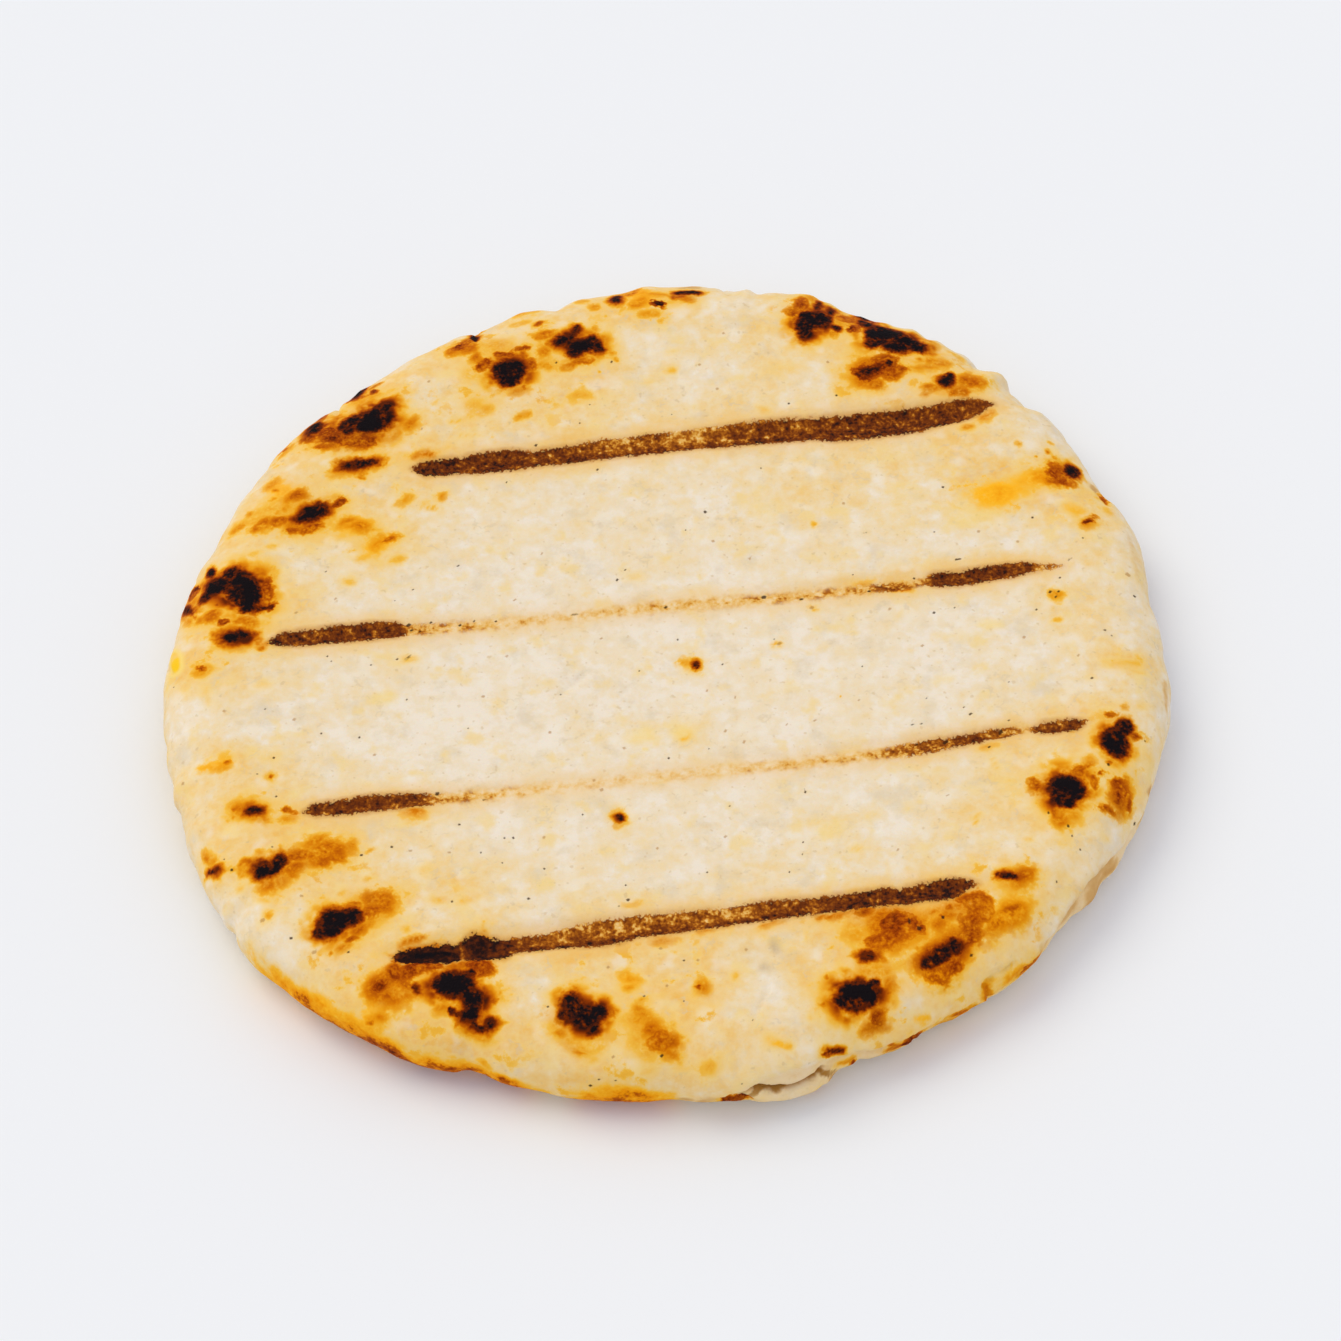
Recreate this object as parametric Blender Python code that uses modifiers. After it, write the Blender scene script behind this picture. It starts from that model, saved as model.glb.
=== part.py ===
"""Grilled white-corn arepa: one flat round corn cake, a single solid.

Metres, +Z up.  The cake rests on its flat underside at z = 0, the origin is
the middle of its footprint, and +X runs along the four grill marks.
"""
import math

import bmesh
import bpy
from mathutils import Vector

MM = 0.001

# ---- size of the cake ------------------------------------------------------
RADIUS = 59.9 * MM            # mean radius of the outline
THICKNESS = 10.0 * MM         # height of the rounded shoulder above the rest
WIDEST_AT = 4.3 * MM          # height at which the rim stands out furthest
SHOULDER_IN = 9.5 * MM        # how far in the top rounding starts
SHOULDER_POWER = 2.25         # fullness of the top rounding
HEEL_IN = 6.0 * MM            # how far in the underside rounding ends
HEEL_POWER = 2.1              # fullness of the underside rounding
STEPS_AROUND = 160            # facets round the rim
CENTRE_X = -0.30 * MM           # brings the middle of the footprint to x = 0
CENTRE_Y = 0.05 * MM           # brings the middle of the footprint to y = 0

# ---- the hand-patted outline: (waves round the rim, swell, bearing of crest)
OUTLINE_WAVES = (
    (2, 1.65 * MM, 42.0),
    (3, 0.43 * MM, 79.0),
    (4, 0.12 * MM, 48.0),
    (5, 0.32 * MM, 64.0),
    (6, 0.26 * MM, 35.0),
    (7, 0.19 * MM, 17.0),
    (8, 0.18 * MM, 39.0),
    (11, 0.18 * MM, 11.0),
    (15, 0.16 * MM, 13.0),
)

# ---- lumps and nicks in the rim: (bearing, out or in, half width in degrees)
LUMPS = (
    (12.5, 0.55 * MM, 3.0),
    (20.5, -0.50 * MM, 3.0),
    (30.0, 0.35 * MM, 3.0),
    (37.5, -0.90 * MM, 2.6),
    (51.5, 0.35 * MM, 3.0),
    (59.5, -0.50 * MM, 2.8),
    (67.0, 0.40 * MM, 3.5),
    (91.0, 0.40 * MM, 2.6),
    (98.5, 0.40 * MM, 3.0),
    (105.5, -0.65 * MM, 2.2),
    (134.0, 0.45 * MM, 4.5),
    (152.0, -0.35 * MM, 2.5),
    (173.0, 0.50 * MM, 3.5),
    (241.0, -0.75 * MM, 2.0),
    (252.0, 0.40 * MM, 4.0),
    (274.0, 0.50 * MM, 3.0),
    (283.0, -0.65 * MM, 2.8),
    (356.5, -0.55 * MM, 3.5),
)

LIP_HEIGHT = 4.6 * MM         # the lower edge of the rim, under its belly

# ---- the dished top ---------------------------------------------------------
DISH_DEPTH = 0.75 * MM        # how far the middle sits below the shoulder
DISH_REACH = 25.0 * MM        # radius over which the dish fades
SWELL = 0.16 * MM             # unevenness of the top

# ---- grill bars that pressed the four marks ---------------------------------
# (y at the left end, y at the right end, bar radius, depth at the left, depth
#  at the right, reach of the bar to the left and to the right)
BARS = (
    (32.5 * MM, 32.1 * MM, 5.0 * MM, 0.36 * MM, 0.56 * MM, -30.0 * MM, 46.0 * MM),
    (8.5 * MM, 6.5 * MM, 3.6 * MM, 0.42 * MM, 0.40 * MM, -47.0 * MM, 49.0 * MM),
    (-17.0 * MM, -17.4 * MM, 3.4 * MM, 0.40 * MM, 0.42 * MM, -46.0 * MM, 48.0 * MM),
    (-39.2 * MM, -38.3 * MM, 4.6 * MM, 0.56 * MM, 0.48 * MM, -39.0 * MM, 32.0 * MM),
)
BAR_SIDES = 40
BAR_END = 3.0 * MM            # how far each bar end curls up out of the dough

# ---- the split under the lip at the front -----------------------------------
SPLIT_FROM = 269.0            # bearings the split runs between
SPLIT_TO = 284.0
SPLIT_HEIGHT = 5.1 * MM       # height of the split on the rim
SPLIT_GAPE = 1.0 * MM         # how wide it gapes at the surface
SPLIT_DEPTH = 1.8 * MM        # how far in it reaches

# ---- dough ------------------------------------------------------------------
DOUGH_COLOUR = (0.760, 0.640, 0.440, 1.0)
DOUGH_ROUGHNESS = 0.72


def clear_scene():
    for ob in list(bpy.data.objects):
        bpy.data.objects.remove(ob, do_unlink=True)
    for group in (bpy.data.meshes, bpy.data.curves, bpy.data.materials):
        for block in list(group):
            group.remove(block)
    for col in list(bpy.data.collections):
        bpy.data.collections.remove(col)


def new_collection(name):
    col = bpy.data.collections.new(name)
    bpy.context.scene.collection.children.link(col)
    return col


def new_object(name, mesh, col):
    ob = bpy.data.objects.new(name, mesh)
    col.objects.link(ob)
    return ob


def smoothstep(a, b, v):
    t = min(1.0, max(0.0, (v - a) / (b - a)))
    return t * t * (3.0 - 2.0 * t)


def bearing_gap(a, b):
    return (a - b + 180.0) % 360.0 - 180.0


def outline(theta, z):
    """Radius of the rim at an angle round the cake and a height on it.

    Lumps at the front belong mostly to the lower edge of the rim, those at
    the back to its shoulder, so that no wall is simply straight up and down.
    """
    low = 1.0 - smoothstep(LIP_HEIGHT - 0.8 * MM, LIP_HEIGHT + 1.4 * MM, z)
    high = smoothstep(1.0 * MM, 7.0 * MM, z)
    r = RADIUS
    for waves, swell, crest in OUTLINE_WAVES:
        r += swell * math.cos(waves * (theta - math.radians(crest)))
    deg = math.degrees(theta)
    for bearing, out, half in LUMPS:
        share = 0.25 + 0.75 * (low if bearing > 180.0 else high)
        r += share * out * math.exp(-(bearing_gap(deg, bearing) / half) ** 2)
    return r


def top_relief(x, y):
    """Height of the top against the level of the shoulder."""
    r = math.hypot(x, y)
    z = -DISH_DEPTH * math.exp(-(r / DISH_REACH) ** 2)
    u, v = x / RADIUS, y / RADIUS
    z += SWELL * (math.sin(3.1 * u + 1.3) * math.cos(2.6 * v - 0.4)
                  + 0.6 * math.sin(5.3 * u - 4.1 * v + 0.7)
                  + 0.4 * math.cos(7.7 * v + 2.9 * u))
    return z


def rim_ripple(theta, z):
    """Creases down the wall, so that no two sections are alike."""
    h = z / THICKNESS
    return MM * (0.13 * math.sin(9 * theta + 5.0 * h)
                 + 0.12 * math.sin(17 * theta - 7.0 * h + 1.0)
                 + 0.08 * math.sin(29 * theta + 3.0 * h + 2.0)) \
        * math.sin(math.pi * min(1.0, max(0.0, h)))


def section():
    """Half section, from the middle of the top over the rim and under."""
    pts = []
    inner = RADIUS - SHOULDER_IN
    top_rings = 7
    for i in range(top_rings):
        pts.append((inner * (i / top_rings) ** 0.85, THICKNESS))
    n = 8
    for i in range(n):
        t = math.pi / 2 * (1.0 - i / n)
        pts.append((inner + SHOULDER_IN * math.cos(t) ** (2 / SHOULDER_POWER),
                    WIDEST_AT + (THICKNESS - WIDEST_AT)
                    * math.sin(t) ** (2 / SHOULDER_POWER)))
    n = 6
    for i in range(n + 1):
        t = math.pi / 2 * i / n
        pts.append((RADIUS - HEEL_IN
                    + HEEL_IN * max(0.0, math.cos(t)) ** (2 / HEEL_POWER),
                    WIDEST_AT - WIDEST_AT * math.sin(t) ** (2 / HEEL_POWER)))
    base = RADIUS - HEEL_IN
    for f in (0.66, 0.30, 0.0):
        pts.append((base * f, 0.0))
    return pts


def turned_cake(col):
    """Turn the section round the axis with the Screw modifier."""
    pts = section()
    mesh = bpy.data.meshes.new("section")
    mesh.from_pydata([(r, 0.0, z) for r, z in pts],
                     [(i, i + 1) for i in range(len(pts) - 1)], [])
    ob = new_object("section", mesh, col)
    mod = ob.modifiers.new("turn", "SCREW")
    mod.axis = "Z"
    mod.angle = 2 * math.pi
    mod.screw_offset = 0.0
    mod.steps = STEPS_AROUND
    mod.render_steps = STEPS_AROUND
    mod.use_merge_vertices = True
    mod.merge_threshold = 0.0001
    mod.use_normal_calculate = False
    bpy.context.view_layer.update()
    deps = bpy.context.evaluated_depsgraph_get()
    solid = bpy.data.meshes.new_from_object(ob.evaluated_get(deps))
    bpy.data.objects.remove(ob, do_unlink=True)
    return solid


def pat_by_hand(mesh):
    """Move the turned surface to the uneven outline and dished top."""
    bm = bmesh.new()
    bm.from_mesh(mesh)
    bmesh.ops.remove_doubles(bm, verts=bm.verts, dist=0.00001)
    for v in bm.verts:
        x, y, z = v.co
        r = math.hypot(x, y)
        if r > 1e-7:
            theta = math.atan2(y, x)
            reach = smoothstep(0.25, 1.0, r / RADIUS)
            new_r = r + (outline(theta, z) - RADIUS) * reach
            new_r += rim_ripple(theta, z) * smoothstep(0.86, 1.0, r / RADIUS)
            x, y = x * new_r / r, y * new_r / r
        up = smoothstep(0.35, 1.0, z / THICKNESS)
        z += top_relief(x, y) * up
        v.co = Vector((x, y, max(0.0, z)))
    bmesh.ops.recalc_face_normals(bm, faces=bm.faces)
    bm.to_mesh(mesh)
    bm.free()


def grill_bar(index, spec, col):
    """A round bar, its ends bent up, that presses one grill mark."""
    y_left, y_right, radius, left_depth, right_depth, left, right = spec
    run = right - left
    curve = bpy.data.curves.new("bar_%d" % index, "CURVE")
    curve.dimensions = "3D"
    curve.bevel_depth = radius
    curve.bevel_resolution = BAR_SIDES // 4 - 2
    curve.use_fill_caps = True
    line = curve.splines.new("POLY")
    pts = []
    low_left = THICKNESS - left_depth + radius
    low_right = THICKNESS - right_depth + radius
    n = 10
    for i in range(n + 1):
        f = i / n
        x = left + run * f
        y = y_left + (y_right - y_left) * f
        z = low_left + (low_right - low_left) * f
        edge = min(f, 1.0 - f) * run / (10.0 * MM)
        z += BAR_END * 0.16 * max(0.0, 1.0 - edge) ** 2
        pts.append((x, y, z))
    pts.insert(0, (left - 8.0 * MM, y_left, low_left + BAR_END))
    pts.append((right + 8.0 * MM, y_right, low_right + BAR_END))
    line.points.add(len(pts) - 1)
    for p, co in zip(line.points, pts):
        p.co = (co[0], co[1], co[2], 1.0)
    tmp = new_object("bar_%d" % index, curve, col)
    bpy.context.view_layer.update()
    deps = bpy.context.evaluated_depsgraph_get()
    mesh = bpy.data.meshes.new_from_object(tmp.evaluated_get(deps))
    matrix = tmp.matrix_world.copy()
    bpy.data.objects.remove(tmp, do_unlink=True)
    bm = bmesh.new()
    bm.from_mesh(mesh)
    bm.transform(matrix)
    bmesh.ops.remove_doubles(bm, verts=bm.verts, dist=0.00001)
    bmesh.ops.recalc_face_normals(bm, faces=bm.faces)
    bm.to_mesh(mesh)
    bm.free()
    return new_object("cut_bar_%d" % index, mesh, col)


def split_wedge(col):
    """A thin curved wedge that opens the split under the front lip."""
    n = 12
    bm = bmesh.new()
    rings = []
    for i in range(n + 1):
        f = i / n
        bearing = math.radians(SPLIT_FROM + (SPLIT_TO - SPLIT_FROM) * f)
        body = math.sin(math.pi * (0.06 + 0.88 * f))
        r = outline(bearing, SPLIT_HEIGHT)
        z = SPLIT_HEIGHT + 0.7 * MM * math.sin(2.2 * math.pi * f)
        gape = SPLIT_GAPE * (0.25 + 0.75 * body)
        deep = SPLIT_DEPTH * (0.2 + 0.8 * body)
        out = (math.cos(bearing), math.sin(bearing))
        tip, mouth = r - deep, r + 2.0 * MM
        rings.append([bm.verts.new((out[0] * tip, out[1] * tip, z + 0.25 * gape)),
                      bm.verts.new((out[0] * mouth, out[1] * mouth, z - gape)),
                      bm.verts.new((out[0] * mouth, out[1] * mouth, z + gape))])
    for a, b in zip(rings[:-1], rings[1:]):
        for k in range(3):
            m = (k + 1) % 3
            bm.faces.new((a[k], a[m], b[m], b[k]))
    bm.faces.new(rings[0][::-1])
    bm.faces.new(rings[-1])
    bmesh.ops.recalc_face_normals(bm, faces=bm.faces)
    mesh = bpy.data.meshes.new("cut_split")
    bm.to_mesh(mesh)
    bm.free()
    return new_object("cut_split", mesh, col)


def cut(target, cutter):
    cutter.hide_render = True
    cutter.display_type = "WIRE"
    mod = target.modifiers.new(cutter.name, "BOOLEAN")
    mod.operation = "DIFFERENCE"
    mod.solver = "EXACT"
    mod.object = cutter


def dough_material():
    mat = bpy.data.materials.new("arepa_dough")
    mat.use_nodes = True
    bsdf = mat.node_tree.nodes["Principled BSDF"]
    bsdf.inputs["Base Color"].default_value = DOUGH_COLOUR
    bsdf.inputs["Roughness"].default_value = DOUGH_ROUGHNESS
    bsdf.inputs["Metallic"].default_value = 0.0
    mat.diffuse_color = DOUGH_COLOUR
    return mat


def build():
    clear_scene()
    parts = new_collection("arepa_corn_cake")
    cutters = new_collection("cutters")

    mesh = turned_cake(parts)
    pat_by_hand(mesh)
    mesh.name = "arepa"
    cake = new_object("arepa", mesh, parts)

    for i, spec in enumerate(BARS):
        cut(cake, grill_bar(i + 1, spec, cutters))
    cut(cake, split_wedge(cutters))

    bpy.context.view_layer.update()
    deps = bpy.context.evaluated_depsgraph_get()
    done = bpy.data.meshes.new_from_object(cake.evaluated_get(deps))
    cake.modifiers.clear()
    bm = bmesh.new()
    bm.from_mesh(done)
    bmesh.ops.remove_doubles(bm, verts=bm.verts, dist=0.00002)
    for v in bm.verts:
        v.co.x -= CENTRE_X
        v.co.y -= CENTRE_Y
    bmesh.ops.recalc_face_normals(bm, faces=bm.faces)
    bm.to_mesh(done)
    bm.free()
    done.name = "arepa"
    cake.data = done
    done.materials.clear()
    done.materials.append(dough_material())
    done.shade_smooth()
    done.set_sharp_from_angle(angle=math.radians(40.0))
    return cake


build()
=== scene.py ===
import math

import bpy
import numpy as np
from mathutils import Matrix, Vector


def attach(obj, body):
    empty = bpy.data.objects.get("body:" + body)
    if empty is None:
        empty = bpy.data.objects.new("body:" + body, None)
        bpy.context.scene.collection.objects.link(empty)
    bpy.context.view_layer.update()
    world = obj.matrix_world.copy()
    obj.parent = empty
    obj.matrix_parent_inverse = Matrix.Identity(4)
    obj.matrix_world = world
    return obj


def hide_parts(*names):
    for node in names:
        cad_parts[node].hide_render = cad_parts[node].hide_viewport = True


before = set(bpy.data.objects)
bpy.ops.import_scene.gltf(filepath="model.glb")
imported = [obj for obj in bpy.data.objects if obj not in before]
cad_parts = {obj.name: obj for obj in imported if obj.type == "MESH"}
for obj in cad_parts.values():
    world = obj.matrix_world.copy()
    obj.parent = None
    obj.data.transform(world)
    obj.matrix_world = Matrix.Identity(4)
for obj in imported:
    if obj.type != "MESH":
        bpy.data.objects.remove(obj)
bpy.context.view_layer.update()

# Looks of the grilled white-corn arepa.  One closed piece stands for the CAD node: the same hand-patted form, with
# the finer relief of the dough on it (blisters, pressed grill marks, cracks in the rim), and a procedural material
# driven by fields that say how dark the grill has made each spot of the crust, and where shade is painted on the
# rim walls.
#
# Lengths in the tables are millimetres.  (u, v) is the place on the skin laid
# out flat: on the top it is simply (x, y), and over the rim it runs on down
# the wall, so that distances stay true there.

# ---------------------------------------------------------------------------
# The form, repeated from the CAD
# ---------------------------------------------------------------------------
RADIUS = 59.9
THICKNESS = 10.0
WIDEST_AT = 4.3
SHOULDER_IN = 9.5
SHOULDER_POWER = 2.25
HEEL_IN = 6.0
HEEL_POWER = 2.1
CENTRE_X = -0.30
CENTRE_Y = 0.05
LIP_HEIGHT = 4.6
OUTLINE_WAVES = (
    (2, 1.65, 42.0), (3, 0.43, 79.0), (4, 0.12, 48.0), (5, 0.32, 64.0),
    (6, 0.26, 35.0), (7, 0.19, 17.0), (8, 0.18, 39.0), (11, 0.18, 11.0),
    (15, 0.16, 13.0),
)
LUMPS = (
    (12.5, 0.55, 3.0), (20.5, -0.50, 3.0), (30.0, 0.35, 3.0),
    (37.5, -0.90, 2.6), (51.5, 0.35, 3.0), (59.5, -0.50, 2.8),
    (67.0, 0.40, 3.5), (91.0, 0.40, 2.6), (98.5, 0.40, 3.0),
    (105.5, -0.65, 2.2), (134.0, 0.45, 4.5), (152.0, -0.35, 2.5),
    (173.0, 0.50, 3.5), (241.0, -0.75, 2.0), (252.0, 0.40, 4.0),
    (274.0, 0.50, 3.0), (283.0, -0.65, 2.8), (356.5, -0.55, 3.5),
)
DISH_DEPTH = 0.75
DISH_REACH = 25.0
SWELL = 0.16
# (y left, y right, bar radius, depth left, depth right, from x, to x)
BARS = (
    (32.5, 32.1, 5.0, 0.36, 0.56, -30.0, 46.0),
    (8.5, 6.5, 3.6, 0.42, 0.40, -47.0, 49.0),
    (-17.0, -17.4, 3.4, 0.40, 0.42, -46.0, 48.0),
    (-39.2, -38.3, 4.6, 0.56, 0.48, -39.0, 32.0),
)

# ---------------------------------------------------------------------------
# Small tools
# ---------------------------------------------------------------------------


def smoothstep(a, b, v):
    t = np.clip((v - a) / (b - a), 0.0, 1.0)
    return t * t * (3.0 - 2.0 * t)


def bearing_gap(a, b):
    return (a - b + 180.0) % 360.0 - 180.0


class Noise:
    """Seeded gradient noise over points in space, about -1 to 1."""

    def __init__(self, seed):
        rng = np.random.default_rng(seed)
        self.perm = np.concatenate([rng.permutation(256)] * 2)
        g = rng.normal(size=(256, 3))
        self.grad = g / np.linalg.norm(g, axis=1)[:, None]
        self.off = rng.uniform(0.0, 256.0, 3)

    def __call__(self, p, size, octaves=1, fall=0.5):
        out, amp, total = 0.0, 1.0, 0.0
        q = np.asarray(p, float) / size + self.off
        for _ in range(octaves):
            out = out + amp * self._one(q)
            total += amp
            amp *= fall
            q = q * 2.03 + 11.7
        return out / total * 1.55

    def _one(self, q):
        i = np.floor(q).astype(np.int64)
        f = q - i
        i &= 255
        w = f * f * f * (f * (f * 6.0 - 15.0) + 10.0)
        out = np.zeros(len(q))
        for a in (0, 1):
            for b in (0, 1):
                for c in (0, 1):
                    h = self.perm[self.perm[self.perm[i[:, 0] + a]
                                            + ((i[:, 1] + b) & 255)]
                                  + ((i[:, 2] + c) & 255)]
                    d = (self.grad[h] * (f - (a, b, c))).sum(1)
                    k = ((w[:, 0] if a else 1 - w[:, 0])
                         * (w[:, 1] if b else 1 - w[:, 1])
                         * (w[:, 2] if c else 1 - w[:, 2]))
                    out += d * k
        return out


# ---------------------------------------------------------------------------
# The skin: a grid over the top, rings down the rim, a coarser grid below
# ---------------------------------------------------------------------------
TOP_CELLS = 196               # cells across the top; four times this round it
RIM_RINGS = 57
INNER = RADIUS - SHOULDER_IN
BASE = RADIUS - HEEL_IN


def outline(theta, z):
    low = 1.0 - smoothstep(LIP_HEIGHT - 0.8, LIP_HEIGHT + 1.4, z)
    high = smoothstep(1.0, 7.0, z)
    r = np.full_like(theta, RADIUS)
    for waves, swell, crest in OUTLINE_WAVES:
        r += swell * np.cos(waves * (theta - math.radians(crest)))
    deg = np.degrees(theta)
    for bearing, out, half in LUMPS:
        share = 0.25 + 0.75 * (low if bearing > 180.0 else high)
        r += share * out * np.exp(-(bearing_gap(deg, bearing) / half) ** 2)
    return r


def top_relief(x, y):
    r = np.hypot(x, y)
    z = -DISH_DEPTH * np.exp(-(r / DISH_REACH) ** 2)
    u, v = x / RADIUS, y / RADIUS
    return z + SWELL * (np.sin(3.1 * u + 1.3) * np.cos(2.6 * v - 0.4)
                        + 0.6 * np.sin(5.3 * u - 4.1 * v + 0.7)
                        + 0.4 * np.cos(7.7 * v + 2.9 * u))


def rim_ripple(theta, z):
    h = z / THICKNESS
    return (0.13 * np.sin(9 * theta + 5.0 * h)
            + 0.12 * np.sin(17 * theta - 7.0 * h + 1.0)
            + 0.08 * np.sin(29 * theta + 3.0 * h + 2.0)) \
        * np.sin(math.pi * np.clip(h, 0.0, 1.0))


def press_bars(x, y, z):
    """Press the four grill bars into the top."""
    depth = np.zeros_like(z)
    for y0, y1, rad, d0, d1, x0, x1 in BARS:
        f = (x - x0) / (x1 - x0)
        g = np.clip(f, 0.0, 1.0)
        yc = y0 + (y1 - y0) * g
        zc = THICKNESS - (d0 + (d1 - d0) * g) + rad
        edge = np.minimum(g, 1.0 - g) * (x1 - x0) / 10.0
        zc = zc + 0.48 * np.clip(1.0 - edge, 0.0, 1.0) ** 2
        past = np.maximum(np.maximum(x0 - x, x - x1), 0.0)
        zc = zc + past * 0.38
        across = np.abs(y - yc)
        low = np.where(across < rad,
                       zc - np.sqrt(np.maximum(rad * rad - across ** 2, 0.0)),
                       99.0)
        depth = np.maximum(depth, np.where(z > WIDEST_AT, z - low, 0.0))
    return depth


def mould(r0, theta, z0):
    """Turn a point of the plain turned cake into the hand-patted one."""
    reach = smoothstep(0.25, 1.0, r0 / RADIUS)
    r = r0 + (outline(theta, z0) - RADIUS) * reach
    r = r + rim_ripple(theta, z0) * smoothstep(0.86, 1.0, r0 / RADIUS)
    x, y = r * np.cos(theta), r * np.sin(theta)
    z = z0 + top_relief(x, y) * smoothstep(0.35, 1.0, z0 / THICKNESS)
    z = np.maximum(z, 0.0)
    groove = press_bars(x, y, z)
    return x - CENTRE_X, y - CENTRE_Y, z - groove, groove


def rim_section(n):
    """Points down the rim, evenly spaced: rings 0..n of (r, z)."""
    t = np.linspace(math.pi / 2, 0.0, 400)
    r = INNER + SHOULDER_IN * np.cos(t) ** (2 / SHOULDER_POWER)
    z = WIDEST_AT + (THICKNESS - WIDEST_AT) * np.sin(t) ** (2 / SHOULDER_POWER)
    t = np.linspace(0.0, math.pi / 2, 400)[1:]
    r = np.append(r, BASE + HEEL_IN * np.clip(np.cos(t), 0, 1) ** (2 / HEEL_POWER))
    z = np.append(z, WIDEST_AT - WIDEST_AT * np.sin(t) ** (2 / HEEL_POWER))
    s = np.append(0.0, np.cumsum(np.hypot(np.diff(r), np.diff(z))))
    at = np.linspace(0.0, s[-1], n + 1)
    return np.interp(at, s, r), np.interp(at, s, z)


def disc_grid(n, radius):
    """A square grid wrapped onto a disc; returns r, theta and its border."""
    a = np.linspace(-1.0, 1.0, n + 1)
    gx, gy = np.meshgrid(a, a)
    big = np.maximum(np.abs(gx), np.abs(gy))
    with np.errstate(divide="ignore", invalid="ignore"):
        along_x = np.abs(gx) >= np.abs(gy)
        t = np.where(along_x, gy / np.where(gx == 0, 1, gx) * math.pi / 4,
                     math.pi / 2 - gx / np.where(gy == 0, 1, gy) * math.pi / 4)
        t = np.where(along_x & (gx < 0), t + math.pi, t)
        t = np.where(~along_x & (gy < 0), t + math.pi, t)
    idx = np.arange((n + 1) ** 2).reshape(n + 1, n + 1)
    # border, counter-clockwise from the corner at 315 degrees
    border = np.concatenate([idx[:-1, n], idx[n, :0:-1], idx[:0:-1, 0],
                             idx[0, :-1]])
    quads = np.stack([idx[:-1, :-1], idx[:-1, 1:], idx[1:, 1:], idx[1:, :-1]],
                     -1).reshape(-1, 4)
    return (big * radius).ravel(), t.ravel() % (2 * math.pi), border, quads


def build_skin():
    n, m = TOP_CELLS, RIM_RINGS
    rt, tt, border, quads = disc_grid(n, INNER)
    around = 4 * n
    th = tt[border]
    sec_r, sec_z = rim_section(m)

    r = [rt]
    t = [tt]
    z = [np.full(len(rt), THICKNESS)]
    ring = border.copy()
    faces4 = [quads]
    count = len(rt)
    rings = [border]
    for k in range(1, m + 1):
        r.append(np.full(around, sec_r[k]))
        t.append(th)
        z.append(np.full(around, sec_z[k]))
        new = np.arange(count, count + around)
        count += around
        faces4.append(np.stack([ring, np.roll(ring, -1), np.roll(new, -1), new], -1)[:, ::-1])
        ring = new
        rings.append(new)
    # the underside, with cells twice as large
    half = n // 2
    rb, tb, border_b, quads_b = disc_grid(half, BASE * 0.985)
    r.append(rb)
    t.append(tb)
    z.append(np.zeros(len(rb)))
    low = border_b + count
    faces4.append(quads_b[:, ::-1] + count)
    count += len(rb)
    faces3 = []
    k = len(low)
    for i in range(k):
        a, b, c = ring[2 * i], ring[(2 * i + 1) % around], ring[(2 * i + 2) % around]
        p, q = low[i], low[(i + 1) % k]
        faces3 += [(a, p, b), (b, p, q), (b, q, c)]
    r, t, z = np.concatenate(r), np.concatenate(t), np.concatenate(z)
    return r, t, z, np.concatenate(faces4), np.array(faces3), rings, low, count - len(rb)


r0, th0, z0, QUADS, TRIS, RINGS, LOW, FIRST_LOW = build_skin()
X, Y, Z, GROOVE = mould(r0, th0, z0)
P = np.stack([X, Y, Z], -1)

# (u, v): the skin laid out flat
U, V = X.copy(), Y.copy()
span = np.zeros(len(RINGS[0]))
edge_r = np.hypot(P[RINGS[0], 0], P[RINGS[0], 1])
bearing = np.arctan2(P[RINGS[0], 1], P[RINGS[0], 0])
for prev, ring in zip(RINGS[:-1], RINGS[1:]):
    span = span + np.linalg.norm(P[ring] - P[prev], axis=1)
    U[ring] = (edge_r + span) * np.cos(bearing)
    V[ring] = (edge_r + span) * np.sin(bearing)
UNDER = np.zeros(len(P))
UNDER[FIRST_LOW:] = 1.0
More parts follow.
